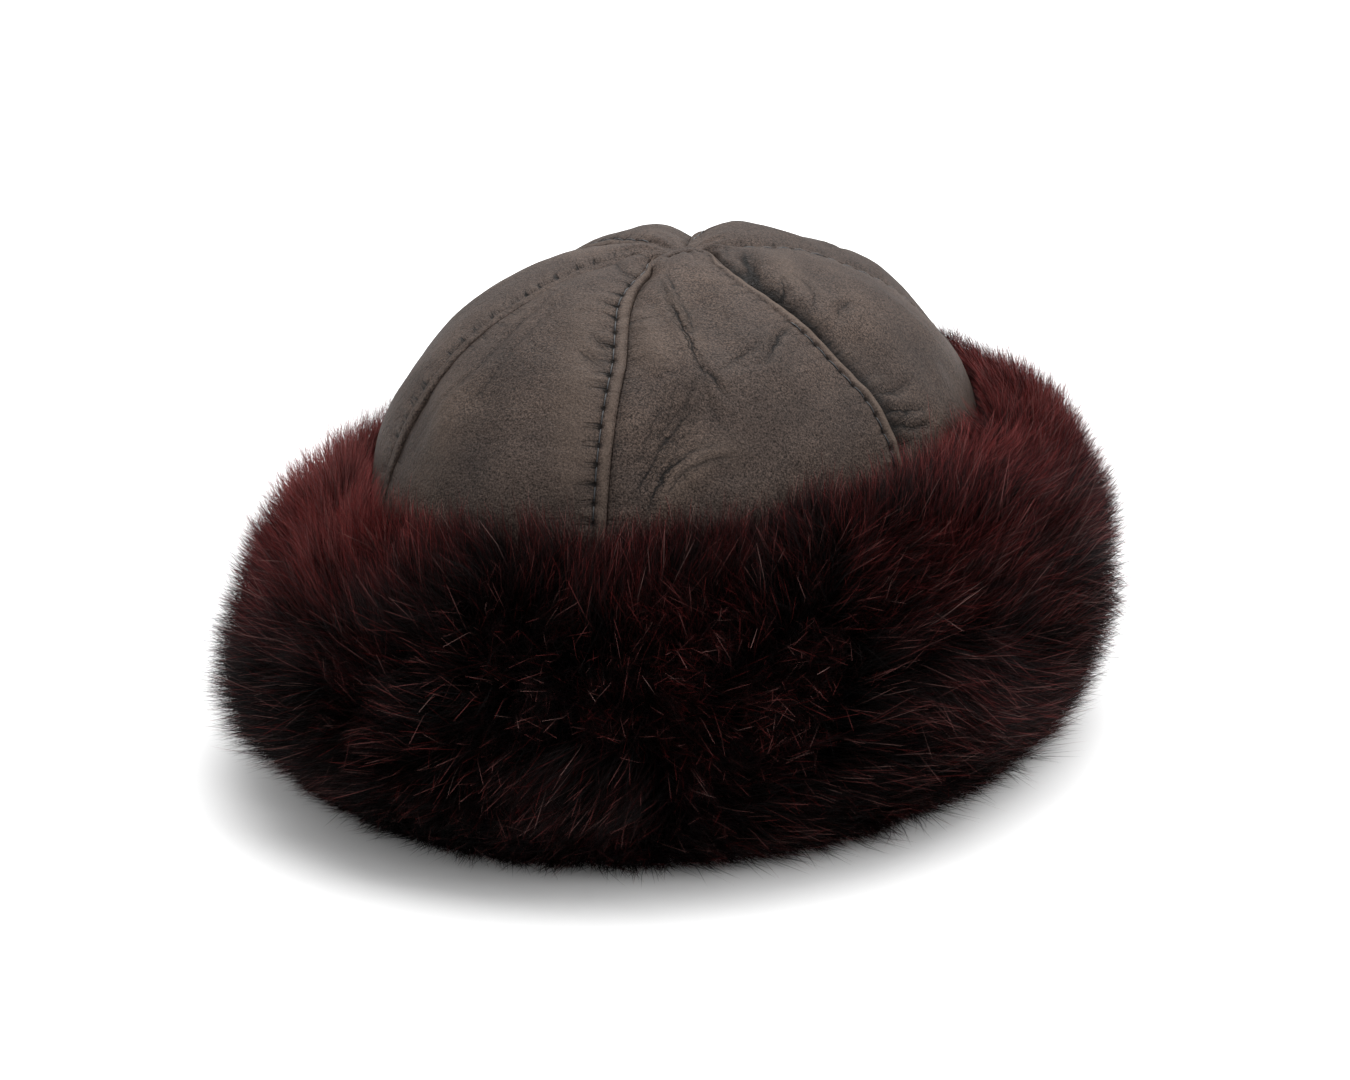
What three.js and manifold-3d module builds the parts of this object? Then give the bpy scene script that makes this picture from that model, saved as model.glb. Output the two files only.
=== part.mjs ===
// A leather hat with a deep fur cuff, in millimetres, +Z up.
// The origin is on the ground at the middle of the fur's outline. The front faces -Y and the wearer's
// left is +X.
// The crown is six leather gores that meet at the apex. The cuff is a soft backing ring with the fur
// standing out of it in locks, and the hat rests on the flat underside of that ring.

import * as THREE from 'three';
import { mergeVertices } from 'three/addons/utils/BufferGeometryUtils.js';
import Module from 'manifold-3d';

// The gores, counted round the crown from the front towards the wearer's left.
const GORE_NAMES = [
  'crown_front',
  'crown_left_front',
  'crown_left_back',
  'crown_back',
  'crown_right_back',
  'crown_right_front',
];
const GORE_SPAN = (2 * Math.PI) / GORE_NAMES.length;

// Crown: the outer face of the leather at the head, and its height above the ground. Where the dome
// begins and near its tip, angles and reaches give where the puff and the seams come in and fade out.
const CROWN_HALF_WIDTH = 85.5;
const CROWN_HALF_LENGTH = 106.5;
const WALL_TOP = 78;
const DOME_RISE = 76;
const DOME_FULLNESS = 0.85;
const LEATHER = 2.5;
const SEAM_GAP = 0.3;
const TIP_RADIUS = 0.35;
const HEM_HEIGHT = 3;

const PUFF = { height: 2.6, flatness: 2.2, fromAngle: 0, fullAngle: 24, goneReach: 0.02, fullReach: 0.14 };
const SEAM = { fromAngle: 4, fullAngle: 20, goneReach: 0.01, fullReach: 0.12 };

// The top of the crown leans a little off the middle, from where the dome has drawn in to a share of
// its reach.
const APEX_LEAN = { x: 2.6, y: 2.2 };
const LEAN_SHARE = 0.45;

// The seams are not quite even round the crown. Each runs some degrees past its even place, low on the
// dome and high on it, and turns between two angles up the dome. The first seam is on the first gore's
// right as seen from outside.
const SEAM_TURNS = [
  { low: 2.4, high: -7, from: 50, to: 85 },
  { low: 2.6, high: -6, from: 20, to: 75 },
  { low: -7, high: -7, from: 20, to: 75 },
  { low: 5.5, high: 5.5, from: 20, to: 75 },
  { low: 1, high: 1, from: 20, to: 75 },
  { low: 3.4, high: 5, from: 40, to: 75 },
];

// Cuff: the outer form of the fur, as distances out from the crown's leather and heights.
const FUR_REACH = 47;
const FUR_WIDEST = 36;
const FUR_TOP = 101;
const FUR_TOP_REACH = 7;
const FOOT_REACH = 18.5;
const FUR_ROUNDNESS = { above: 1.85, below: 1.5 };

// The fur differs round the hat: it reaches further out at the sides than at the front and back, and
// most so at the foot. It also reaches further on the right and at the front, and it stands higher and
// is widest higher up on the wearer's left.
const SIDE_REACH = 3;
const FOOT_SIDE_REACH = 8;
const REACH_LEAN = { x: -3, y: -1.5 };
const TOP_LEAN = { x: 4.5, y: 0.5 };
const WIDEST_LEAN = { x: 7, y: 4.5 };

// Backing: how far it stays inside the fur's outer form, how far its top dips towards the crown, and
// its lip under the hem of the gores.
const BACKING_INSET = 6;
const BACKING_HUG = 5;
const BACKING_DIP = 2;
const BACKING_SIDES = 38;
const BACKING_STEPS = 5;
const CUFF_GAP = 0.7;
const ROOM_GAP = 1.3;
const LIP_REACH = 3;
const LIP_HEIGHT = 2.5;
const ROOM_ROWS = [0, 10, 20, 32, 44];

// Colours of the two materials.
const LEATHER_COLOUR = 0x55493f;
const FUR_COLOUR = 0x2c1114;

// A gore's columns, from its left edge to its right edge as seen from outside. A column is a distance
// in from one edge, but no further in than a share of the gore's width there. The right edge carries
// the folded seam allowance, which lifts the leather; the left edge dips under it.
const COLUMNS = [
  { edge: 'left', inset: 0, share: 0, lift: -0.7 },
  { edge: 'left', inset: 1.6, share: 0.08, lift: 0 },
  { edge: 'left', inset: 12, share: 0.19, lift: 0 },
  { edge: 'left', inset: Infinity, share: 0.29, lift: 0 },
  { edge: 'left', inset: Infinity, share: 0.39, lift: 0 },
  { edge: 'left', inset: Infinity, share: 0.49, lift: 0 },
  { edge: 'left', inset: Infinity, share: 0.59, lift: 0 },
  { edge: 'left', inset: Infinity, share: 0.68, lift: 0 },
  { edge: 'right', inset: 13, share: 0.24, lift: 0 },
  { edge: 'right', inset: 5.4, share: 0.17, lift: 0 },
  { edge: 'right', inset: 4.2, share: 0.13, lift: 1.0 },
  { edge: 'right', inset: 1.0, share: 0.05, lift: 1.1 },
  { edge: 'right', inset: 0, share: 0, lift: 0.1 },
];

// A gore's rows: heights on the upright wall, then angles up the dome.
const WALL_ROWS = [HEM_HEIGHT, 50];
const DOME_ROWS = [0, 10, 20, 30, 40, 50, 59, 67, 74, 80, 85, 88.4];

// Soft folds in the leather. Each runs up a gore from one dome angle to another; across gives its
// place at both ends as a share of the gore's width, and a negative depth is a dent. A fold fades in
// and out over a share of its run.
const FOLD_FADE = 0.15;
const FOLDS = [
  { gore: 0, low: 20, high: 70, acrossLow: 0.80, acrossHigh: 0.74, width: 0.10, depth: -0.9 },
  { gore: 0, low: 15, high: 60, acrossLow: 0.42, acrossHigh: 0.45, width: 0.12, depth: -0.7 },
  { gore: 1, low: 25, high: 80, acrossLow: 0.42, acrossHigh: 0.16, width: 0.09, depth: -1.3 },
  { gore: 1, low: 10, high: 42, acrossLow: 0.14, acrossHigh: 0.40, width: 0.09, depth: -1.0 },
  { gore: 1, low: 20, high: 55, acrossLow: 0.90, acrossHigh: 0.78, width: 0.08, depth: -0.8 },
  { gore: 2, low: 40, high: 80, acrossLow: 0.10, acrossHigh: 0.34, width: 0.12, depth: -1.4 },
  { gore: 2, low: 15, high: 45, acrossLow: 0.16, acrossHigh: 0.10, width: 0.09, depth: -1.0 },
  { gore: 3, low: 20, high: 70, acrossLow: 0.34, acrossHigh: 0.44, width: 0.12, depth: -0.9 },
  { gore: 3, low: 45, high: 95, acrossLow: 1.00, acrossHigh: 1.00, width: 0.14, depth: -2.0 },
  { gore: 4, low: 45, high: 95, acrossLow: 0.00, acrossHigh: 0.00, width: 0.14, depth: -2.0 },
  { gore: 4, low: 15, high: 62, acrossLow: 0.62, acrossHigh: 0.50, width: 0.12, depth: -1.0 },
  { gore: 5, low: 10, high: 52, acrossLow: 0.46, acrossHigh: 0.58, width: 0.24, depth: -1.3 },
];

// The rows of fur locks. A lock is rooted in the backing at one turn of the cuff's outer form and lies
// along the form to another; turns are in degrees, from -90 at the foot through 0 at the widest to 90
// at the top. Rise is how far its tip stands above or below the form, and stagger shifts the row round.
const LOCK_ROWS = [
  { from: -26, to: -68, count: 19, width: 23, rise: 3, stagger: 0 },
  { from: -2, to: -46, count: 19, width: 24, rise: 4, stagger: 0.5 },
  { from: 24, to: -16, count: 19, width: 23, rise: 4, stagger: 0 },
  { from: 10, to: 56, count: 19, width: 23, rise: 3, stagger: 0.5 },
  { from: 42, to: 88, count: 19, width: 22, rise: 3, stagger: 0 },
];
const LOCK_SIDES = 4;
const LOCK_STEPS = 3;
const LOCK_ROOT_INSET = 13;
const LOCK_THICKNESS = 8;
const LOCK_PLUMPNESS = 0.45;
const LOCK_SWAY = 7;
const LOCK_UNEVEN = 0.14;
const LOCK_CLEARANCE = 0.6;

// Small steps used to find which way the outer form runs, how near its tip a lock stops growing thin,
// and the numbers that mix a lock's place into its variation.
const LOOK_STEP = { turn: 1, angle: 0.01 };
const LOCK_TIP = 0.999;
const LOCK_MIX = { index: 12.9, row: 78.2 };

const wasm = await Module();
wasm.setup();

const degrees = THREE.MathUtils.degToRad;
const smooth = THREE.MathUtils.smoothstep;

// A direction round the hat: 0 faces the front, and the angle grows towards +X.
function around(angle) {
  return { x: Math.sin(angle), y: -Math.cos(angle) };
}

// How far the crown reaches out at a height on the wall or an angle up the dome, and how high that is.
function meridian(row) {
  if (row.wall !== undefined) {
    return { reach: 1, z: row.wall };
  }
  const climb = degrees(row.dome);
  return { reach: Math.cos(climb) ** DOME_FULLNESS, z: WALL_TOP + DOME_RISE * Math.sin(climb) };
}

// A point of the crown before its puff and folds.
function crownPoint(angle, row) {
  const { reach, z } = meridian(row);
  const way = around(angle);
  const lean = Math.max(0, 1 - reach / LEAN_SHARE) ** 2;
  return new THREE.Vector3(
    way.x * CROWN_HALF_WIDTH * reach + APEX_LEAN.x * lean,
    way.y * CROWN_HALF_LENGTH * reach + APEX_LEAN.y * lean,
    z,
  );
}

// The crown's outward direction at the same place.
function crownNormal(angle, row) {
  const way = around(angle);
  if (row.wall !== undefined) {
    return new THREE.Vector3(way.x / CROWN_HALF_WIDTH, way.y / CROWN_HALF_LENGTH, 0).normalize();
  }
  const climb = degrees(row.dome);
  const out = DOME_RISE * Math.cos(climb) ** (2 - DOME_FULLNESS);
  const up = DOME_FULLNESS * Math.sin(climb);
  const outward = new THREE.Vector3((out * way.x) / CROWN_HALF_WIDTH, (out * way.y) / CROWN_HALF_LENGTH, up);
  return outward.normalize();
}

// Millimetres along the crown for each radian round it.
function arcScale(angle, reach) {
  const across = CROWN_HALF_WIDTH * Math.cos(angle);
  const along = CROWN_HALF_LENGTH * Math.sin(angle);
  return Math.hypot(across, along) * reach;
}

// Where a column lies across its gore, from 0 at the left seam to 1 at the right seam.
function acrossGore(column, arc) {
  const edge = SEAM_GAP / 2 / arc;
  const step = Math.min(column.inset / arc, column.share * (1 - 2 * edge));
  return column.edge === 'left' ? edge + step : 1 - edge - step;
}

// How much of the puff or the seams shows in a row: none on the wall or at the very tip.
function shown(range, row) {
  if (row.wall !== undefined) {
    return 0;
  }
  const { reach } = meridian(row);
  const start = smooth(row.dome, range.fromAngle, range.fullAngle);
  return start * smooth(reach, range.goneReach, range.fullReach);
}

// The puff of a gore, which is none at its seams.
function puff(across, row) {
  const middle = 1 - Math.abs(2 * across - 1) ** PUFF.flatness;
  return PUFF.height * middle * shown(PUFF, row);
}

// The soft folds that cross a place on one gore.
function foldDepth(gore, across, row) {
  let depth = 0;
  for (const fold of FOLDS) {
    if (fold.gore !== gore || row.dome === undefined) {
      continue;
    }
    const climb = (row.dome - fold.low) / (fold.high - fold.low);
    const fadeIn = smooth(climb, -FOLD_FADE, FOLD_FADE);
    const fadeOut = 1 - smooth(climb, 1 - FOLD_FADE, 1 + FOLD_FADE);
    const centre = THREE.MathUtils.lerp(fold.acrossLow, fold.acrossHigh, climb);
    depth += fold.depth * fadeIn * fadeOut * Math.exp(-(((across - centre) / fold.width) ** 2));
  }
  return depth;
}

// The rows of a gore from its hem to its tip.
function goreRows() {
  const tipReach = TIP_RADIUS / CROWN_HALF_WIDTH;
  const tipAngle = THREE.MathUtils.radToDeg(Math.acos(tipReach ** (1 / DOME_FULLNESS)));
  const wall = WALL_ROWS.map((height) => ({ wall: height }));
  const dome = DOME_ROWS.map((angle) => ({ dome: angle }));
  return [...wall, ...dome, { dome: tipAngle, tip: true }];
}

// The direction round the hat of the seam on a gore's right, at a row.
function seamAngle(gore, row) {
  const { low, high, from, to } = SEAM_TURNS.at(gore);
  const turn = THREE.MathUtils.lerp(low, high, smooth(row.dome ?? 0, from, to));
  return (gore + 0.5) * GORE_SPAN + degrees(turn);
}

// One gore: a box with a cell for each column and row, bent into a leather wall.
function goreGeometry(gore) {
  const rows = goreRows();
  const columnCount = COLUMNS.length - 1;
  const rowCount = rows.length - 1;
  const geometry = new THREE.BoxGeometry(1, 1, 1, columnCount, rowCount, 1);
  const position = geometry.getAttribute('position');
  for (let i = 0; i < position.count; i += 1) {
    const column = COLUMNS[Math.round((position.getX(i) + 0.5) * columnCount)];
    const row = rows[Math.round((position.getY(i) + 0.5) * rowCount)];
    const outside = position.getZ(i) > 0;
    const start = seamAngle(gore - 1, row);
    const span = seamAngle(gore, row) - start;
    const arc = arcScale(gore * GORE_SPAN, meridian(row).reach) * span;
    const across = row.tip ? 0.5 : acrossGore(column, arc);
    const angle = start + across * span;
    const outward = crownNormal(angle, row);
    const leather = outside ? column.lift * shown(SEAM, row) : -LEATHER;
    const out = puff(across, row) + foldDepth(gore, across, row) + leather;
    const point = crownPoint(angle, row).addScaledVector(outward, out);
    position.setXYZ(i, point.x, point.y, point.z);
  }
  return geometry;
}

// Only the positions of a geometry, with its shared corners joined and no triangle without area.
function weld(geometry) {
  geometry.deleteAttribute('normal');
  geometry.deleteAttribute('uv');
  const welded = mergeVertices(geometry);
  const corners = welded.getIndex().array;
  const kept = [];
  for (let i = 0; i < corners.length; i += 3) {
    const [a, b, c] = corners.slice(i, i + 3);
    if (a !== b && b !== c && c !== a) {
      kept.push(a, b, c);
    }
  }
  welded.setIndex(kept);
  return welded;
}

function toSolid(geometry) {
  const welded = weld(geometry);
  return new wasm.Manifold(new wasm.Mesh({
    numProp: 3,
    vertProperties: new Float32Array(welded.getAttribute('position').array),
    triVerts: new Uint32Array(welded.getIndex().array),
  }));
}

function toGeometry(solid) {
  const mesh = solid.getMesh();
  const geometry = new THREE.BufferGeometry();
  geometry.setAttribute('position', new THREE.BufferAttribute(mesh.vertProperties, 3));
  geometry.setIndex(new THREE.BufferAttribute(mesh.triVerts, 1));
  return geometry;
}

// The fur's outer form at a turn from the foot to the top, drawn in by an inset.
function furForm(turn, inset) {
  const angle = degrees(THREE.MathUtils.clamp(turn, -90, 90));
  const roundness = turn < 0 ? FUR_ROUNDNESS.below : FUR_ROUNDNESS.above;
  const bulge = Math.cos(angle) ** (2 / roundness);
  const climb = Math.abs(Math.sin(angle)) ** (2 / roundness);
  const end = turn < 0 ? FOOT_REACH : FUR_TOP_REACH;
  const height = turn < 0 ? -FUR_WIDEST : FUR_TOP - inset - FUR_WIDEST;
  return { out: end + (FUR_REACH - inset - end) * bulge, z: FUR_WIDEST + height * climb };
}

// A point of the cuff: a distance out from the crown's upright wall, round the hat.
function cuffPoint(angle, out, z) {
  const way = around(angle);
  const taller = 1 + leaning(TOP_LEAN, way) / FUR_TOP;
  if (out <= CUFF_GAP) {
    return wallPoint(angle, out, z * taller);
  }
  const atFoot = FOOT_SIDE_REACH * Math.max(0, 1 - z / FUR_WIDEST);
  const side = (SIDE_REACH + atFoot) * (way.x ** 2 - way.y ** 2);
  const wider = 1 + (side + leaning(REACH_LEAN, way)) / FUR_REACH;
  const swell = leaning(WIDEST_LEAN, way) * Math.sin((Math.PI * z) / FUR_TOP);
  return wallPoint(angle, out * wider, z * taller + swell);
}

// How much of a lean shows in one direction round the hat.
function leaning(lean, way) {
  return lean.x * way.x + lean.y * way.y;
}

// The same on a ring that follows the crown's upright wall exactly.
function wallPoint(angle, out, z) {
  const way = around(angle);
  return new THREE.Vector3(way.x * (CROWN_HALF_WIDTH + out), way.y * (CROWN_HALF_LENGTH + out), z);
}

// A ring turned from an outline of distances out and heights, fitted round the crown by a function
// that places each of its points.
function ringGeometry(outline, place) {
  const turned = outline.map(({ out, z }) => new THREE.Vector2(CROWN_HALF_WIDTH + out, z));
  const geometry = new THREE.LatheGeometry([...turned, turned[0]], BACKING_SIDES);
  geometry.rotateX(Math.PI / 2);
  const position = geometry.getAttribute('position');
  for (let i = 0; i < position.count; i += 1) {
    const out = Math.hypot(position.getX(i), position.getY(i)) - CROWN_HALF_WIDTH;
    const angle = Math.atan2(position.getX(i), -position.getY(i));
    const point = place(angle, out, position.getZ(i));
    position.setXYZ(i, point.x, point.y, point.z);
  }
  return geometry;
}

// The backing: a lip under the gores' hem, the wall against the crown, and the padded outside.
function backingOutline() {
  const outline = [
    { out: -LIP_REACH, z: 0 },
    { out: -LIP_REACH, z: LIP_HEIGHT },
    { out: CUFF_GAP, z: LIP_HEIGHT },
    { out: CUFF_GAP, z: WALL_TOP },
    { out: -BACKING_HUG, z: FUR_TOP - BACKING_INSET - BACKING_DIP },
  ];
  for (let step = 0; step <= 2 * BACKING_STEPS; step += 1) {
    outline.push(furForm(90 - (90 * step) / BACKING_STEPS, BACKING_INSET));
  }
  return outline.reverse();
}

// One lock of fur: a plump, flattened cone laid along the outer form, rising from its root to its tip.
function lockGeometry(angle, row, variation) {
  const geometry = new THREE.ConeGeometry(1, 1, LOCK_SIDES, LOCK_STEPS);
  const position = geometry.getAttribute('position');
  const lay = Math.sign(row.to - row.from);
  for (let i = 0; i < position.count; i += 1) {
    const climb = position.getY(i) + 0.5;
    const turn = THREE.MathUtils.lerp(row.from, row.to, climb * (1 + LOCK_UNEVEN * variation));
    const inset = THREE.MathUtils.lerp(LOCK_ROOT_INSET, -row.rise, climb);
    const here = furForm(turn, inset);
    const next = furForm(turn + LOOK_STEP.turn, inset);
    const foot = cuffPoint(angle, here.out, here.z);
    const up = cuffPoint(angle, next.out, next.z).sub(foot).normalize();
    const side = cuffPoint(angle + LOOK_STEP.angle, here.out, here.z).sub(foot).normalize();
    const out = new THREE.Vector3().crossVectors(side, up).normalize();
    const plump = (1 - Math.min(climb, LOCK_TIP)) ** -LOCK_PLUMPNESS;
    const across = position.getX(i) * plump * row.width * lay + LOCK_SWAY * variation * climb;
    const point = foot.addScaledVector(side, across);
    point.addScaledVector(out, position.getZ(i) * plump * LOCK_THICKNESS);
    position.setXYZ(i, point.x, point.y, Math.max(point.z, LOCK_CLEARANCE));
  }
  return geometry;
}

// A repeatable difference between one lock and the next, from -1 to 1.
function lockVariation(row, index) {
  return Math.sin(LOCK_MIX.index * index + LOCK_MIX.row * row);
}

// The room that the crown takes inside the cuff, from the lip to well above the fur.
function crownRoom() {
  const inner = -CROWN_HALF_WIDTH / 2;
  const outline = [
    { out: inner, z: LIP_HEIGHT },
    { out: CUFF_GAP, z: LIP_HEIGHT },
    { out: CUFF_GAP, z: WALL_TOP },
  ];
  for (const angle of ROOM_ROWS) {
    const row = { dome: angle };
    const { reach, z } = meridian(row);
    outline.push({ out: CROWN_HALF_WIDTH * (reach - 1) + ROOM_GAP + puff(0.5, row), z: z + ROOM_GAP });
  }
  outline.push({ out: inner, z: outline.at(-1).z });
  return ringGeometry(outline, wallPoint);
}

// The fused fur without the pockets that its locks close off against the backing.
function outerShell(solid) {
  const shells = solid.decompose();
  shells.sort((one, other) => other.volume() - one.volume());
  return shells[0];
}

function buildCuff() {
  let cuff = toSolid(ringGeometry(backingOutline(), cuffPoint));
  LOCK_ROWS.forEach((row, rowIndex) => {
    for (let index = 0; index < row.count; index += 1) {
      const angle = ((index + row.stagger) / row.count) * 2 * Math.PI;
      const lock = toSolid(lockGeometry(angle, row, lockVariation(rowIndex, index)));
      cuff = cuff.add(lock);
    }
  });
  return toGeometry(outerShell(cuff.subtract(toSolid(crownRoom()))));
}

function leatherMaterial() {
  return new THREE.MeshStandardMaterial({ color: LEATHER_COLOUR, roughness: 0.55, metalness: 0 });
}

function furMaterial() {
  return new THREE.MeshStandardMaterial({ color: FUR_COLOUR, roughness: 0.9, metalness: 0 });
}

function addPiece(group, name, geometry, material) {
  geometry.computeVertexNormals();
  const mesh = new THREE.Mesh(geometry, material);
  mesh.name = name;
  group.add(mesh);
}

const hat = new THREE.Group();
GORE_NAMES.forEach((name, gore) => addPiece(hat, name, weld(goreGeometry(gore)), leatherMaterial()));
addPiece(hat, 'fur_cuff', buildCuff(), furMaterial());

const middle = new THREE.Box3().setFromObject(hat).getCenter(new THREE.Vector3());
hat.position.set(-middle.x, -middle.y, 0);
hat.updateMatrixWorld(true);

export default hat;
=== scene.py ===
import math
from functools import partial

import bmesh
import bpy
import numpy as np
from mathutils import Matrix, Vector, noise


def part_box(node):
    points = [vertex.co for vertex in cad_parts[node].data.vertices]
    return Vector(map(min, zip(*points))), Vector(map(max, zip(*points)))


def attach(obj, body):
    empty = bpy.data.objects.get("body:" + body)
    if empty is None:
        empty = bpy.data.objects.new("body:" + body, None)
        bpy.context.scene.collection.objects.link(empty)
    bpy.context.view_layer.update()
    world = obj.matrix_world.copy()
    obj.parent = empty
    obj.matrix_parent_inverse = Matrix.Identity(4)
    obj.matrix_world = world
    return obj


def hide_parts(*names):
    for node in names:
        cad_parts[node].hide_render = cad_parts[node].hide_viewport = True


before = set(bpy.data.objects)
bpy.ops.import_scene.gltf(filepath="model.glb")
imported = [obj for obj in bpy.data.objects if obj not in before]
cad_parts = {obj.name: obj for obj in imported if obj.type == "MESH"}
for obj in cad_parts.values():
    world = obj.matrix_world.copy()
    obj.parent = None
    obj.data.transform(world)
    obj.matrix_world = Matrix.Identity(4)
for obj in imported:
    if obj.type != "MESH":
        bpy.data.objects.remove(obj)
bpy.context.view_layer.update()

scene = bpy.context.scene


# Camera. The hat is seen from its front left and a little above, with a long lens 1.3 m away. The
# aim lies just off the crown's axis, so that the hat sits in the frame as it does in the photo.
LOOK_TURN, LOOK_RISE, LOOK_ROLL = math.radians(40.0), math.radians(19.3), math.radians(-1.8)
LOOK_DISTANCE = 1.302
AIM_HEIGHT = 0.070
AIM_OFFSET = (-0.0022, -0.0091)
LENS, SENSOR = 111.2, 36.0

crown_middle = Vector((
    (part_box("crown_right_back")[0].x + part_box("crown_left_front")[1].x) / 2,
    (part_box("crown_front")[0].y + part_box("crown_back")[1].y) / 2,
    0.0,
))
tilt = Matrix.Rotation(math.pi / 2.0 - LOOK_RISE, 3, "X") @ Matrix.Rotation(LOOK_ROLL, 3, "Z")
right, up, back = (Matrix.Rotation(LOOK_TURN, 3, "Z") @ tilt).transposed()
target = crown_middle + Vector((0.0, 0.0, AIM_HEIGHT))
camera_place = target + back * LOOK_DISTANCE
aim = target + right * AIM_OFFSET[0] + up * AIM_OFFSET[1]
forward = (aim - camera_place).normalized()
side = forward.cross(up).normalized()
turned = Matrix((side, side.cross(forward), -forward)).transposed()

camera_data = bpy.data.cameras.new("camera")
camera_data.lens = LENS
camera_data.sensor_width = SENSOR
camera_data.clip_start, camera_data.clip_end = 0.05, 20.0
camera = bpy.data.objects.new("camera", camera_data)
camera.matrix_world = Matrix.Translation(camera_place) @ turned.to_4x4()
scene.collection.objects.link(camera)
scene.camera = camera


# Crown leather. Soft dark taupe leather with a fine pebbled grain, faintly mottled by its dye.
# It is paler on its ridges, partly by wear and partly as painted highlight, and on its raised puckers
# and folds as painted highlight; painted shade darkens its creases, wrinkles, pits, grooves and
# gathers. Relief is in metres, and a mark's shade is how much painted shade darkens the leather.
# The seams' lines of stitches are measured in millimetres.
STITCH_LINE, STITCH_PITCH = 3.7, 5.6
LEATHER_DYE = [
    (0.30, (0.0356, 0.0260, 0.0220)),
    (0.50, (0.0470, 0.0338, 0.0279)),
    (0.70, (0.0618, 0.0438, 0.0351)),
]
# The colour of the paler leather, from wear and painted highlight, and the colour of painted shade.
WEAR_AND_HIGHLIGHT_COLOUR, PAINTED_SHADE_COLOUR = (0.100, 0.073, 0.057, 1.0), (0.006, 0.0052, 0.0050, 1.0)
LEATHER_ROUGHNESS, LEATHER_GLOSS = (0.50, 0.70), 0.10
MARK_SHADES = {"wrinkled": 1.25, "net": 0.25, "pit": 0.95, "groove": 0.22, "gathered": 0.85}
DARKEST_SHADE = 0.95
RELIEF = {
    "grain": 0.00017, "speck": 0.00042, "soft": 0.0011, "wrinkled": -0.00065,
    "pit": -0.00050, "groove": -0.00020, "gathered": -0.00070, "net": -0.00012,
}

# The thin wrinkles along a crease: scale, detail and size of their wander, offset, width and strength.
WRINKLES = [
    (240.0, 3.0, 3.2, -1.6, 0.30, 1.0),
    (330.0, 2.0, 6.5, -4.1, 0.28, 0.8),
    (330.0, 2.0, 6.5, -2.4, 0.26, 0.65),
]


def add_node(tree, kind, **values):
    """A node with its settings, and with values or other nodes' outputs on its inputs."""
    node = tree.nodes.new(kind)
    for name, value in values.items():
        if hasattr(node, name):
            setattr(node, name, value)
        elif isinstance(value, bpy.types.NodeSocket):
            tree.links.new(value, node.inputs[name])
        else:
            node.inputs[name.replace("_", " ")].default_value = value
    return node


def new_material(name, roughness, gloss=0.5):
    material = bpy.data.materials.new(name)
    material.use_nodes = True
    shader = material.node_tree.nodes["Principled BSDF"]
    shader.inputs["Roughness"].default_value = roughness
    shader.inputs["Specular IOR Level"].default_value = gloss
    return material, material.node_tree, shader


def noise_on(tree, where, scale, detail, roughness=0.6, distortion=0.0):
    node = add_node(tree, "ShaderNodeTexNoise", Vector=where, Scale=scale, Detail=detail)
    node.inputs["Roughness"].default_value = roughness
    node.inputs["Distortion"].default_value = distortion
    return node.outputs["Fac"]


def colour_ramp(tree, value, stops):
    node = add_node(tree, "ShaderNodeValToRGB", Fac=value)
    ramp = node.color_ramp
    while len(ramp.elements) < len(stops):
        ramp.elements.new(0.5)
    for element, (place, colour) in zip(ramp.elements, stops):
        element.position = place
        element.color = (*colour, 1.0)
    return node.outputs["Color"]


def link_math(tree, operation, *values):
    """The output of a Math node on sockets and numbers."""
    node = add_node(tree, "ShaderNodeMath", operation=operation)
    for place, value in enumerate(values):
        if isinstance(value, (int, float)):
            node.inputs[place].default_value = value
        else:
            tree.links.new(value, node.inputs[place])
    return node.outputs[0]


def bell(tree, value, width):
    """1 where the value is 0, falling off over a width."""
    scaled = link_math(tree, "DIVIDE", value, width)
    squared = link_math(tree, "MULTIPLY", scaled, scaled)
    return link_math(tree, "EXPONENT", link_math(tree, "MULTIPLY", squared, -1.0))


def held(tree, value, low, high):
    """The value, kept between two limits."""
    return link_math(tree, "MAXIMUM", link_math(tree, "MINIMUM", value, high), low)


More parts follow.
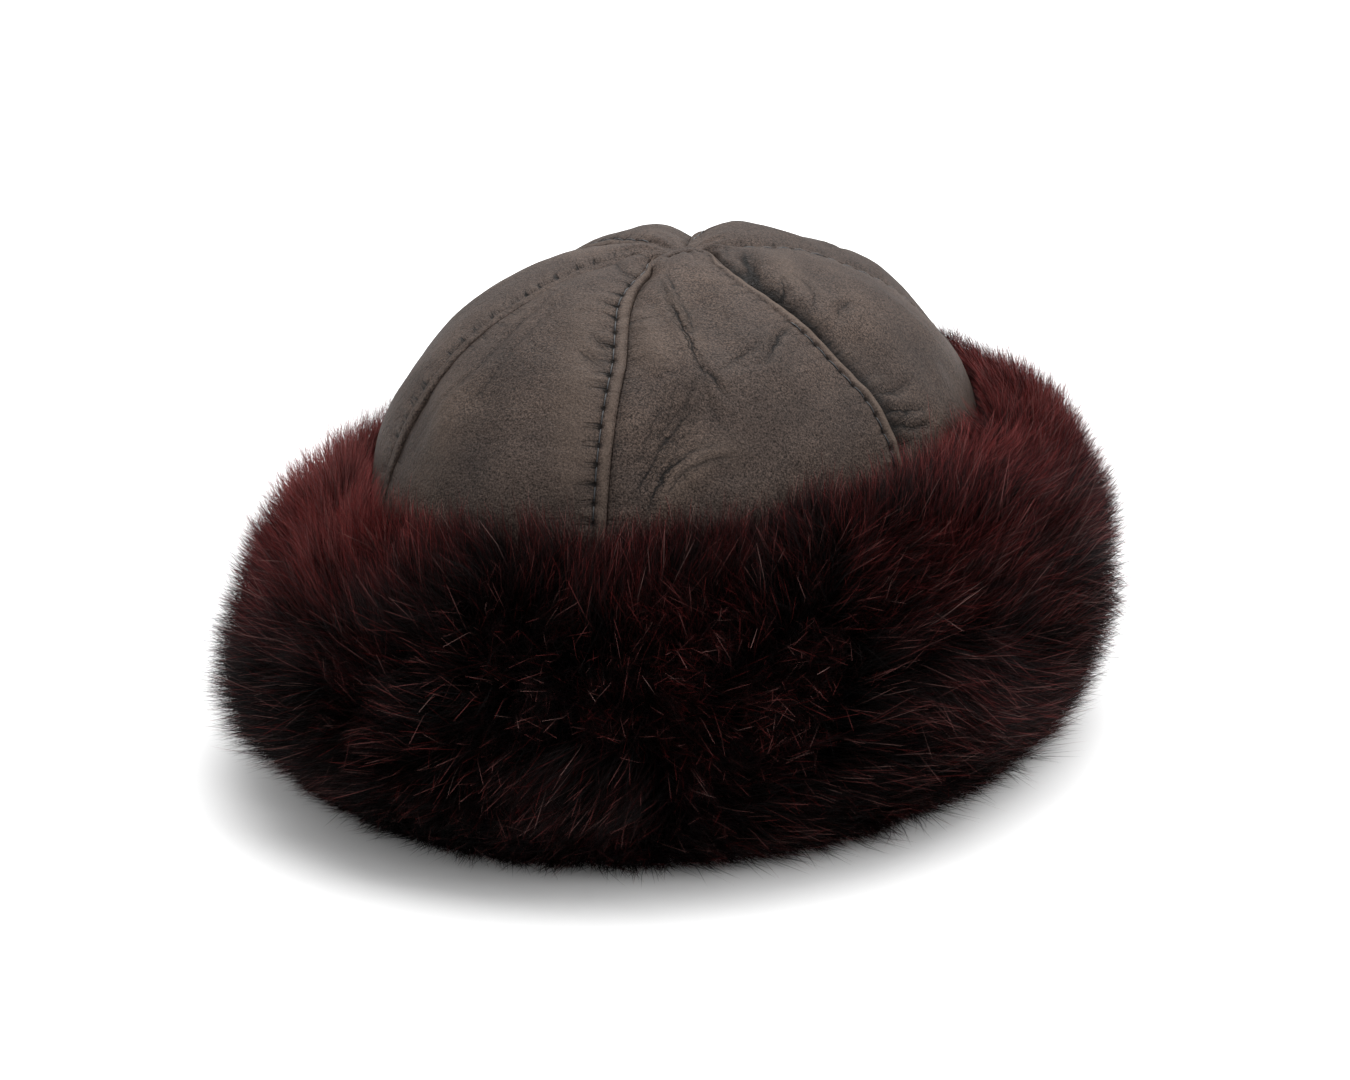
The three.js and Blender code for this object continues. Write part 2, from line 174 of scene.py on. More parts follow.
def leather_material():
    material, tree, shader = new_material("crown_leather", LEATHER_ROUGHNESS[0], LEATHER_GLOSS)
    link = tree.links.new
    add, times = partial(link_math, tree, "ADD"), partial(link_math, tree, "MULTIPLY")
    times_plus = partial(link_math, tree, "MULTIPLY_ADD")
    place = add_node(tree, "ShaderNodeTexCoord").outputs["Object"]
    mottled = partial(noise_on, tree, place)

    def measure(name):
        return add_node(tree, "ShaderNodeAttribute", attribute_name=name).outputs["Fac"]

    def blended(amount, base, colour):
        mix = add_node(tree, "ShaderNodeMix", data_type="RGBA", Factor=amount, A=base, B=colour)
        return mix.outputs["Result"]

    # Dye: broad mottling, then fine specks.
    dye = colour_ramp(tree, mottled(38.0, 5.0), LEATHER_DYE)
    speck = mottled(1800.0, 2.0, 0.7)
    pebble = add_node(tree, "ShaderNodeTexVoronoi", Scale=1700.0, Vector=place)
    speck_tone = times_plus(pebble.outputs["Distance"], -0.60, times_plus(speck, 4.6, -1.02))
    speck_tone = link_math(tree, "MAXIMUM", speck_tone, 0.20)
    specked = add_node(tree, "ShaderNodeVectorMath", operation="SCALE", Vector=dye, Scale=speck_tone)

    # Thin wandering wrinkles that follow each crease and break off here and there, in relief and as painted
    # shade.
    gap, amount = measure("crease_gap"), measure("crease_amount")
    lines = 0.0
    for scale, detail, wander, aside, width, strength in WRINKLES:
        off_wrinkle = add(times_plus(mottled(scale, detail), wander, gap), aside)
        lines = times_plus(bell(tree, off_wrinkle, width), strength, lines)
    broken = held(tree, times_plus(mottled(130.0, 2.0), 2.4, -0.55), 0.15, 1.0)
    wrinkled = times(times(link_math(tree, "MINIMUM", lines, 1.0), amount), broken)

    # A net of finer lines round the creases, bent so that its cells are uneven, in relief and as painted
    # shade.
    bent = add_node(tree, "ShaderNodeTexNoise", Scale=120.0, Detail=2.0, Vector=place).outputs["Color"]
    warp = add_node(tree, "ShaderNodeVectorMath", operation="MULTIPLY_ADD", Vector=bent)
    warp.inputs[1].default_value = (0.009, 0.009, 0.009)
    link(place, warp.inputs[2])
    cells = add_node(tree, "ShaderNodeTexVoronoi", Scale=210.0, feature="DISTANCE_TO_EDGE")
    link(warp.outputs["Vector"], cells.inputs["Vector"])
    net = times(bell(tree, cells.outputs["Distance"], 0.045), amount)

    # The sewing: pits where the thread goes in, a groove along it, and gathers square to the seam, in
    # relief and as painted shade.
    from_right, from_left, run = measure("from_right"), measure("from_left"), measure("run")
    phase = link_math(tree, "FRACT", add(link_math(tree, "DIVIDE", run, STITCH_PITCH), 0.5))
    phase = link_math(tree, "SUBTRACT", phase, 0.5)
    off_line = link_math(tree, "SUBTRACT", from_right, STITCH_LINE + 0.1)
    threaded = measure("threaded")
    pit = times(times(bell(tree, phase, 0.14), bell(tree, off_line, 0.95)), threaded)
    groove = times(bell(tree, off_line, 0.32), threaded)
    gather_place = add_node(tree, "ShaderNodeCombineXYZ", X=times(from_right, 0.10), Y=times(run, 0.80))
    gather = noise_on(tree, gather_place.outputs["Vector"], 1.0, 3.0, 0.6, 0.25)
    sharp = held(tree, times_plus(gather, -6.5, 3.2), 0.0, 1.0)
    past_line = link_math(tree, "GREATER_THAN", from_right, STITCH_LINE)
    right_side = times(held(tree, times_plus(from_right, -0.21, 2.0), 0.0, 1.0), past_line)
    left_side = link_math(tree, "MAXIMUM", times_plus(from_left, -0.11, 1.0), 0.0)
    gathered = times(sharp, link_math(tree, "MAXIMUM", right_side, left_side))
    near_pit = times_plus(bell(tree, phase, 0.22), 0.75, 0.35)
    gathered = times(times(gathered, measure("sewn")), near_pit)

    # Colour: paler where worn and as painted highlight, and darker by painted shade in the creases,
    # wrinkles, net, pits, grooves and gathers.
    worn_and_highlit = blended(measure("wear_and_highlight"), specked.outputs["Vector"], WEAR_AND_HIGHLIGHT_COLOUR)
    marks = {"wrinkled": wrinkled, "net": net, "pit": pit, "groove": groove, "gathered": gathered}
    shade = measure("painted_shade")
    for name, strength in MARK_SHADES.items():
        shade = times_plus(marks[name], strength, shade)
    shade = link_math(tree, "MINIMUM", shade, DARKEST_SHADE)
    link(blended(shade, worn_and_highlit, PAINTED_SHADE_COLOUR), shader.inputs["Base Color"])

    dull, duller = LEATHER_ROUGHNESS
    sheen = add_node(tree, "ShaderNodeMapRange", To_Min=dull, To_Max=duller, Value=speck)
    link(sheen.outputs["Result"], shader.inputs["Roughness"])

    # Relief: pebbled grain, soft fine wrinkles, and the marks above.
    grain = add_node(tree, "ShaderNodeTexVoronoi", Scale=900.0, feature="SMOOTH_F1", Vector=place)
    grain.inputs["Smoothness"].default_value = 0.6
    marks["grain"] = grain.outputs["Distance"]
    marks["speck"] = speck
    marks["soft"] = mottled(190.0, 5.0, 0.62, 0.8)
    height = 0.0
    for name, depth in RELIEF.items():
        height = times_plus(marks[name], depth, height)
    bump = add_node(tree, "ShaderNodeBump", Strength=0.85, Distance=1.0, Height=height)
    link(bump.outputs["Normal"], shader.inputs["Normal"])
    return material


crown_leather = leather_material()


# Crown gores. Six walls of leather that meet at the tip. The right edge of each is folded under and
# topstitched over the next one, which makes a raised ridge with a groove beside it that painted shadow
# darkens; the sewing draws the leather into small puckers. Sizes are in millimetres and directions in
# degrees.
PARTS_ROUND = ["front", "left_front", "left_back", "back", "right_back", "right_front"]
GORES = ["crown_" + name for name in PARTS_ROUND]
MILLIMETRE = 0.001
HALF_WIDTH, HALF_LENGTH = 85.5, 106.5
HEM, WALL_TOP, DOME_RISE, FULLNESS = 3.0, 78.0, 76.0, 0.85
LEATHER, LEATHER_LEAST, EDGE_GAP, TIP_RADIUS = 2.5, 0.8, 0.05, 0.35
PUFF, PUFF_FLATNESS = 2.6, 2.2
APEX_LEAN, LEAN_SHARE = (2.6, 2.2), 0.45
GORE_ROWS, MIDDLE_COLUMNS = 124, [60, 60, 56, 26, 26, 26]
RUN_UNDER_FUR = [HEM - WALL_TOP, -50.0, -25.0]
LEFT_COLUMNS = [0.0, 0.5, 1.2, 2.2, 3.6, 5.4, 7.6]
RIGHT_COLUMNS = [11.5, 9.2, 7.2, 5.8, 4.9, 4.3, 3.85, 3.5, 3.15, 2.7, 2.1, 1.45, 0.85, 0.45, 0.2, 0.0]
SEAM_FULL_WIDTH = 34.0
RIDGE = [
    (0.0, 0.05), (0.2, 0.44), (0.45, 0.68), (0.85, 0.84), (1.45, 0.92),
    (2.1, 0.90), (2.7, 0.74), (3.15, 0.44), (3.5, 0.06), (3.85, -0.12),
    (4.3, 0.03), (4.9, 0.17), (5.8, 0.18), (7.2, 0.10), (11.5, 0.0),
]
DIP = [
    (0.0, -1.0), (0.5, -0.95), (1.2, -0.78), (2.2, -0.45),
    (3.6, -0.08), (5.4, 0.12), (7.6, 0.08), (10.0, 0.0),
]
PUFF_STARTS, PUFF_ENDS = (0.0, 24.0), (0.02, 0.14)
SEWN_STARTS, SEWN_ENDS = (4.0, 20.0), (0.01, 0.12)
PIT_DEPTH, PIT_WIDTH, PUCKER_DEPTH = 0.45, 0.8, 0.38
RIDGE_WAVE, RIDGE_MIDDLE, RIDGE_WIDTH = 0.20, 1.7, 1.4
# The paler band along the ridge, partly wear and partly painted highlight, and painted highlight on puckers
# and raised folds.
RIDGE_PALE_MIDDLE, RIDGE_PALE_WIDTH, PUCKER_HIGHLIGHT, FOLD_HIGHLIGHT = 1.4, 1.1, 0.28, 0.30
# Painted shade at the ridge's foot and in broad dents.
FOOT_OF_RIDGE, FOOT_WIDTH, FOOT_SHADE, FOLD_SHADE = 3.85, 0.45, 0.20, 0.12

# The seams, each on the right of its gore. Low and high are degrees past its even place, from and to the
# angles between which it turns, ridge and dip shares of the profiles above, shade and wide the strength
# and width of the painted shadow in the groove past the ridge, gone and full the shares of the dome's
# reach between which the ridge fades, pucker how strongly the sewing gathers the leather, thread the
# angle up to which it shows, swing a turn near the tip, and the last column how pale the ridge is,
# partly by wear and partly as painted highlight.
SEAM_COLUMNS = (
    "low", "high", "from", "to", "ridge", "dip", "shade", "wide",
    "gone", "full", "pucker", "thread", "swing", "ridge_wear_and_highlight",
)
SEAM_ROWS = [
    (2.4, -7.0, 50, 85, 0.92, 0.4, 0.34, 1.3, 0.03, 0.1, 1.0, 84, -28.0, 0.45),
    (2.6, -6.0, 20, 75, 0.8, 1.3, 0.95, 3.3, 0.03, 0.12, 0.5, 54, 28.0, 0.85),
    (-7.0, -7.0, 20, 75, 0.55, 0.4, 0.3, 0.9, 0.1, 0.35, 0.7, 84, 0.0, 0.5),
    (5.5, 5.5, 20, 75, 0.55, 0.4, 0.3, 0.9, 0.1, 0.35, 0.9, 84, 0.0, 0.5),
    (1.0, 1.0, 20, 75, 0.6, 0.4, 0.3, 0.9, 0.1, 0.35, 0.9, 84, 0.0, 0.5),
    (3.4, 5.0, 40, 75, 0.26, 0.12, 0.08, 1.2, 0.12, 0.4, 1.6, 0, 0.0, 0.4),
]
SEAMS = [dict(zip(SEAM_COLUMNS, row)) for row in SEAM_ROWS]
GORE_SPAN = 2.0 * math.pi / len(GORES)
SOFTNESS = [1.3, 1.3, 1.3, 1.3, 1.3, 0.6]
BROAD_CREASE, CREASE_LIP, WRINKLE_REACH = 3.0, 0.28, 2.9
CREASE_STEPS = 24

# The creases of each gore: width, depth, lines, dark and path. A negative depth is a raised fold, and a
# broad one gets a painted highlight; a broad dent gets painted shade. Lines is how strongly thin
# wrinkles follow the crease, and dark how much painted shade darkens its bottom. A path is points round
# the crown and up the dome.
CREASES = [[] for _ in GORES]
CREASES[0] = [
    (7.0, -1.17, 0, 0, [(25, 20), (24.5, 33), (22.5, 45), (17, 58), (6, 70)]),
    (7.5, 0.91, 0, 0, [(6, 18), (4.5, 30), (-1, 42), (-18, 56)]),
    (16.0, 0.6, 0, 0.2, [(-42, 27), (-18, 28), (6, 23)]),
    (8.0, -0.65, 0, 0, [(-9, 14), (-10, 30), (-16, 45)]),
    (1.4, 0.35, 0.5, 0, [(-17, 33), (-11, 47), (-11.5, 64), (-16.5, 74)]),
    (1.2, 0.25, 0.35, 0, [(-9, 30), (-4, 44), (-3, 60), (-8, 72)]),
    (1.5, 0.5, 0.6, 0.15, [(18.5, 60), (23, 57), (27, 55)]),
    (1.3, 0.45, 0.5, 0.1, [(17, 55), (22, 52.5), (27, 51)]),
    (1.6, 0.5, 0.6, 0.15, [(-26, 80), (-10, 80), (8, 78), (20, 77)]),
    (1.5, 0.4, 0.5, 0, [(-29.5, 83.3), (-8, 84), (13, 84.3)]),
]
CREASES[1] = [
    (3.6, -1.0, 0, 0, [(37, 76), (44, 69.5), (48.5, 64), (50.5, 57), (51.5, 50)]),
    (6.5, 1.5, 0, 0, [(61, 74), (58.5, 65), (58, 55), (60, 46)]),
    (6.0, -1.1, 0, 0, [(34, 68), (38, 58), (42, 49)]),
    (1.4, 0.45, 1.0, 0.12, [
        (33.7, 78.4), (43, 69.9), (47.2, 62.8), (49.8, 56.6), (51.3, 50.7), (52.9, 44.4),
    ]),
    (1.0, 0.4, 0.9, 0.2, [(38.4, 79.1), (44.6, 73.2), (48.4, 67.6), (50.9, 62.4), (50.8, 57.3)]),
    (1.0, 0.4, 0.8, 0.16, [(38.3, 73.5), (44, 66.3), (48, 59.8), (50.2, 53.1)]),
    (1.0, 0.3, 0, 0.25, [(50.2, 57.9), (54.3, 62.1)]),
    (1.1, 0.5, 0.6, 0.28, [(51.2, 50.4), (54.3, 46.1), (57, 40.5)]),
    (1.0, 0.3, 0.5, 0.15, [(52.3, 43.3), (53.4, 39.2), (54.6, 34.9)]),
    (5.5, 1.3, 0, 0, [(38, 24), (42, 32), (47, 39), (55, 41)]),
    (3.5, -0.95, 0, 0, [(42, 19), (46, 25), (51, 29.5), (60, 30)]),
    (1.2, 0.5, 0.8, 0.28, [(39.6, 17), (40.7, 22), (43.8, 28), (48.1, 30.8), (54, 32)]),
    (1.1, 0.35, 0.6, 0.22, [(42.6, 21), (46.1, 26), (50.9, 28.4), (57, 28.3)]),
    (1.1, 0.4, 0.7, 0.22, [(37.6, 19), (38.5, 25), (42.2, 32.4), (45.9, 37.1), (50.5, 41.5)]),
    (0.9, 0.35, 0.5, 0.15, [(39, 17), (40.4, 24.5), (43.2, 30.6), (45.7, 36.3), (48.9, 44.4), (51.5, 49)]),
    (0.9, 0.3, 0.45, 0.13, [(40.3, 17), (41.5, 23.7), (44, 28.6), (47, 33.5), (49, 36.5), (52.5, 46)]),
    (0.9, 0.25, 0.4, 0.08, [(37.6, 24), (39.1, 34.2), (41.4, 39.3), (43.8, 47)]),
    (0.9, 0.25, 0.4, 0.08, [(40.6, 27), (43, 37.4), (44.7, 42.9), (47.2, 51)]),
    (0.9, 0.3, 0.6, 0.1, [(70, 53.5), (65.9, 51.8), (61.4, 50), (56.5, 47.8)]),
    (1.0, 0.3, 0.5, 0.16, [(39.5, 32), (44.7, 38.8), (50, 43.5)]),
    (1.3, 0.6, 0.8, 0.36, [(83, 56), (78, 54.5), (75.4, 53.6), (71.3, 50.6), (67, 46.3)]),
    (7.0, 0.65, 0, 0, [(86, 40), (76, 36), (66, 37)]),
    (1.5, 1.6, 0, 0.9, [(30, 85.5), (22, 87.2), (50, 88.3), (85, 87), (93, 85.5)]),
]
CREASES[2] = [
    (3.6, 0.3, 0, 0.85, [(88.5, 76), (86.8, 69), (86, 61), (86.8, 54), (88, 46)]),
    (3.4, 2.0, 0.7, 0.52, [
        (128, 81.3), (104, 78.3), (94, 74.2), (87.5, 69.9), (86.3, 64), (86.5, 57), (87.5, 49),
    ]),
    (1.3, 0.8, 0.8, 0.55, [(116, 79.6), (104.4, 78.3), (94, 74.2), (88.5, 69.9), (87.3, 65)]),
    (1.0, 0.5, 0, 0.3, [(122, 79.2), (111.9, 78.0), (98.3, 75.0), (93.5, 72)]),
    (1.0, 0.5, 0.6, 0.25, [(128, 83.8), (105.6, 82.5), (91, 80.0)]),
    (4.2, -0.8, 0, 0, [(128, 75), (110, 71), (101, 67), (97, 59)]),
    (1.1, 0.5, 0.7, 0.25, [(98, 68.5), (92, 65.5), (87, 63)]),
    (1.1, 0.4, 0.6, 0.15, [(103, 68), (101, 63.4), (98.5, 60.6), (95.2, 58.3), (89, 57.2)]),
    (1.8, 0.7, 0.6, 0.2, [(96.4, 52), (100, 54.5), (107.1, 54.5)]),
    (6.0, 1.17, 0, 0, [(97, 50), (96, 40), (97, 30)]),
    (1.4, 0.7, 0.8, 0.2, [(93, 30), (97, 27), (103, 26)]),
    (1.4, 0.7, 0.8, 0.2, [(93, 26), (98, 23), (104, 22)]),
    (1.3, 0.5, 0.7, 0, [(93, 34), (98, 32), (105, 33)]),
]
CREASES[3] = [
    (9.0, 1.17, 0, 0, [(168, 20), (174, 45), (176, 70)]),
    (1.5, 0.6, 0.8, 0, [(156, 62), (164, 57), (170, 48)]),
    (1.4, 0.5, 0.7, 0, [(205, 50), (199, 46), (195, 39)]),
    (7.0, 2.6, 0, 0, [(215.5, 46), (215.5, 66), (215.5, 88)]),
]
CREASES[4] = [
    (7.0, 2.6, 0, 0, [(215.5, 46), (215.5, 66), (215.5, 88)]),
    (9.0, 1.3, 0, 0, [(248, 18), (243, 42), (240, 64)]),
    (1.5, 0.7, 0.9, 0, [(238, 72), (241, 58), (246, 44), (244, 34)]),
    (1.4, 0.5, 0.7, 0, [(222, 40), (228, 38), (233, 33)]),
]
CREASES[5] = [
    (15.0, 1.3, 0, 0, [(300, 4), (304, 30), (308, 54), (312, 74)]),
    (1.5, 0.6, 0.8, 0, [(278, 44), (286, 42), (293, 36)]),
]


def smooth(value, low, high):
    share = np.clip((value - low) / (high - low), 0.0, 1.0)
    return share * share * (3.0 - 2.0 * share)


def hump(value, width):
    """The same as bell, for arrays."""
    return np.exp(-(value / width) ** 2)


def unit(vectors, least=1e-9):
    return vectors / np.maximum(np.linalg.norm(vectors, axis=-1, keepdims=True), least)


def resampled(line, count):
    """Points spread along a line of marks."""
    places = np.linspace(0.0, len(line) - 1.0, count)
    return np.stack([np.interp(places, range(len(line)), axis) for axis in line.T], axis=-1)


tip_climb = math.acos((TIP_RADIUS / HALF_WIDTH) ** (1.0 / FULLNESS))
arc_climbs = np.concatenate([np.linspace(0.0, 1.4, 400), np.linspace(1.401, tip_climb, 400)])
arc_reach = 0.5 * (HALF_WIDTH + HALF_LENGTH) * np.cos(arc_climbs) ** FULLNESS
arc_height = DOME_RISE * np.sin(arc_climbs)
arc_runs = np.concatenate([[0.0], np.cumsum(np.hypot(np.diff(arc_reach), np.diff(arc_height)))])


def meridian(run):
    """Climb, reach and height at a run in millimetres up the crown from where the dome begins."""
    climb = np.interp(run, arc_runs, arc_climbs)
    return climb, np.cos(climb) ** FULLNESS, WALL_TOP + DOME_RISE * np.sin(climb) + np.minimum(run, 0.0)


def crown_place(turn, run):
    """Points and outward directions of the crown before its puff and creases."""
    climb, reach, height = meridian(run)
    lean = np.clip(1.0 - reach / LEAN_SHARE, 0.0, None) ** 2
    point = np.stack([
        np.sin(turn) * HALF_WIDTH * reach + APEX_LEAN[0] * lean,
        -np.cos(turn) * HALF_LENGTH * reach + APEX_LEAN[1] * lean,
        height,
    ], axis=-1)
    steep = DOME_RISE * np.cos(climb) ** (2.0 - FULLNESS)
    outward = np.stack([
        steep * np.sin(turn) / HALF_WIDTH,
        -steep * np.cos(turn) / HALF_LENGTH,
        FULLNESS * np.sin(climb),
    ], axis=-1)
    return point, unit(outward)


def puff_height(across):
    """How far the leather stands out between two seams."""
    return PUFF * (1.0 - np.abs(2.0 * across - 1.0) ** PUFF_FLATNESS)


def run_at(degrees):
    return np.interp(np.radians(degrees), arc_climbs, arc_runs)


def seam_turn(gore, climb):
    """The direction round the crown of the seam on a gore's right, at angles up the dome in radians."""
    seam = SEAMS[gore % len(GORES)]
    dome = np.degrees(climb)
    past = seam["low"] + (seam["high"] - seam["low"]) * smooth(dome, seam["from"], seam["to"])
    past += seam["swing"] * smooth(dome, 80.0, 88.5)
    return (gore + 0.5) * GORE_SPAN + np.radians(past)


def gore_edges(gore, run):
    """A gore's start and span round the crown in radians, its width, and its seams' share of theirs."""
    climb, reach, _ = meridian(run)
    start = seam_turn(gore - 1, climb)
    span = seam_turn(gore, climb) - start
    arc = math.hypot(HALF_WIDTH * math.cos(gore * GORE_SPAN), HALF_LENGTH * math.sin(gore * GORE_SPAN))
    width = arc * reach * span
    return start, span, width, np.minimum(1.0, width / SEAM_FULL_WIDTH)


def near_path(point, outward, path):
    """How far to one side of a path over the crown each point lies, and how near its ends."""
    turns, climbs = resampled(np.array(path, float), CREASE_STEPS).T
    line, _ = crown_place(np.radians(turns), run_at(climbs))
    far = np.full(len(point), 1e9)
    sign = np.ones(len(point))
    place = np.zeros(len(point))
    for index in range(len(line) - 1):
        start, step = line[index], line[index + 1] - line[index]
        share = np.clip((point - start) @ step / (step @ step), 0.0, 1.0)
        gap = np.linalg.norm(point - start - share[:, None] * step, axis=1)
        nearer = gap < far
        beside = np.einsum("ij,ij->i", point - start, np.cross(step, outward))
        far = np.where(nearer, gap, far)
        sign = np.where(nearer, np.where(beside < 0.0, -1.0, 1.0), sign)
        place = np.where(nearer, (index + share) / (len(line) - 1), place)
    return far * sign, np.sin(np.pi * np.clip(place, 0.0, 1.0)) ** 0.6


def wave(value, seed, pitches):
    """An uneven wave from -1 to 1 along a line."""
    total = 0.0
    for index, pitch in enumerate(pitches):
        total += np.sin(2.0 * np.pi * value / pitch + 7.3 * seed + 2.1 * index)
    return total / len(pitches)


def gore_surface(gore, across, run, inside=None):
    """Points on a gore in millimetres, with the measures that its leather's material reads."""
    climb, reach, _ = meridian(run)
    start, span, width, seam = gore_edges(gore, run)
    turn = start + across * span
    point, outward = crown_place(turn, run)
    from_right = (1.0 - across) * width / seam + 0.22 * wave(run, gore + 9, (8.3, 13.1, 21.7))
    from_left = across * width / seam
    own, before = SEAMS[gore], SEAMS[gore - 1]
    ridge = own["ridge"] * smooth(reach, own["gone"], own["full"])
    dip = before["dip"] * smooth(reach, before["gone"], before["full"])

    dome = np.degrees(climb)
    shown = smooth(dome, *PUFF_STARTS) * smooth(reach, *PUFF_ENDS)
    lift = puff_height(across) * shown
    sewn = smooth(dome, *SEWN_STARTS) * smooth(reach, *SEWN_ENDS)
    detail = ridge * np.interp(from_right, *np.array(RIDGE).T)
    detail += dip * np.interp(from_left, *np.array(DIP).T)

    # The stitches pull small pits along their line, and puckers square to it on either side.
    stitch = 0.5 + 0.5 * np.cos(2.0 * np.pi * run / STITCH_PITCH)
    threaded = 0.25 + 0.75 * (1.0 - smooth(dome, own["thread"] - 3.0, own["thread"] + 3.0))
    detail -= PIT_DEPTH * hump(from_right - STITCH_LINE, PIT_WIDTH) * stitch ** 4 * threaded
    pucker = wave(run, gore, (5.2, 7.9, 12.7)) + 0.9 * (stitch ** 2 - 0.4)
    past = from_right - STITCH_LINE
    beside = np.clip(past / 1.5, 0.0, 1.0) * np.exp(-np.clip(past, 0.0, None) / 4.5)
    detail -= PUCKER_DEPTH * own["pucker"] * pucker * beside
    ridge_wave = wave(run, gore + 3, (6.3, 9.1)) * hump(from_right - RIDGE_MIDDLE, RIDGE_WIDTH)
    detail += RIDGE_WAVE * ridge_wave
    tucked = wave(run, gore + 6, (6.1, 8.7, 14.2))
    left_side = np.clip(from_left / 1.2, 0.0, 1.0) * np.exp(-from_left / 5.5)
    detail += (0.25 + 0.3 * dip) * tucked * left_side

    # Painted shade: in the groove past the ridge, along the ridge's own edge and at its foot, in broad
    # dents and along the bottoms of creases. Broad raised folds get a painted highlight.
    open_part = smooth(reach, 0.05, 0.22)
    painted_shade = before["shade"] * open_part * hump(from_left, before["wide"])
    painted_shade += 0.14 * ridge * open_part * np.exp(-from_right / 0.25)
    painted_shade += FOOT_SHADE * ridge * open_part * hump(from_right - FOOT_OF_RIDGE, FOOT_WIDTH)
    crease_gap = np.full(len(point), 9.0)
    crease_amount = np.zeros(len(point))
    raised = np.zeros(len(point))
    for crease_width, depth, lines, dark, path in CREASES[gore]:
        side_gap, ends = near_path(point, outward, path)
        gap = np.abs(side_gap)
        dent = hump(gap, crease_width)
        lip = hump(gap - 2.0 * crease_width, 0.9 * crease_width)
        detail += depth * ends * (CREASE_LIP * lip - dent)
        broad = ends * dent * (crease_width > BROAD_CREASE)
        raised += FOLD_HIGHLIGHT * broad * (depth < 0.0)
        painted_shade += FOLD_SHADE * broad * (depth > 0.0)
        painted_shade += dark * ends * hump(gap, 0.6 * crease_width)
        amount = lines * ends * hump(gap, WRINKLE_REACH)
        stronger = amount > crease_amount
        crease_gap = np.where(stronger, side_gap, crease_gap)
        crease_amount = np.where(stronger, amount, crease_amount)

    soft = np.array([noise.noise(Vector(p) / 26.0) + 0.35 * noise.noise(Vector(p) / 9.0) for p in point])
    detail += SOFTNESS[gore] * soft * shown
    bunched = wave(np.degrees(turn), 1, (17.0, 26.0)) * smooth(reach, 0.03, 0.10)
    detail += 0.4 * bunched * (1.0 - smooth(reach, 0.12, 0.26))

    height = lift + detail * sewn
    if inside is not None:
        height = np.where(inside, np.minimum(lift - LEATHER, height - LEATHER_LEAST), height)
    # Paler leather: wear and painted highlight along the ridge, and painted highlight on raised puckers and
    # folds.
    puffed = np.clip(-pucker * beside + dip * tucked * left_side, 0.0, 1.0)
    wear_and_highlight = own["ridge_wear_and_highlight"] * ridge * hump(from_right - RIDGE_PALE_MIDDLE, RIDGE_PALE_WIDTH)
    wear_and_highlight = wear_and_highlight + PUCKER_HIGHLIGHT * puffed + raised
    marks = {
        "wear_and_highlight": np.clip(wear_and_highlight, 0.0, 1.0) * sewn,
        "painted_shade": np.clip(painted_shade, 0.0, 1.0) * sewn ** 0.5,
        "crease_gap": crease_gap,
        "crease_amount": np.clip(crease_amount, 0.0, 1.0) * shown,
        "from_right": from_right,
        "from_left": from_left,
        "run": run,
        "sewn": sewn * smooth(reach, 0.05, 0.2) * own["pucker"],
        "threaded": sewn * np.clip(ridge / 0.9, 0.0, 1.0) ** 0.5 * threaded,
    }
    return point + outward * height[:, None], marks


def link_piece(mesh, material):
    """An object of the scene from a mesh."""
    mesh.materials.append(material)
    piece = bpy.data.objects.new(mesh.name, mesh)
    scene.collection.objects.link(piece)
    return piece


def shell_piece(bm, name, material):
    """A piece of the hat from a closed bmesh, smooth and facing outwards."""
    bmesh.ops.recalc_face_normals(bm, faces=bm.faces)
    for face in bm.faces:
        face.smooth = True
    mesh = bpy.data.meshes.new(name)
    bm.to_mesh(mesh)
    bm.free()
    return link_piece(mesh, material)


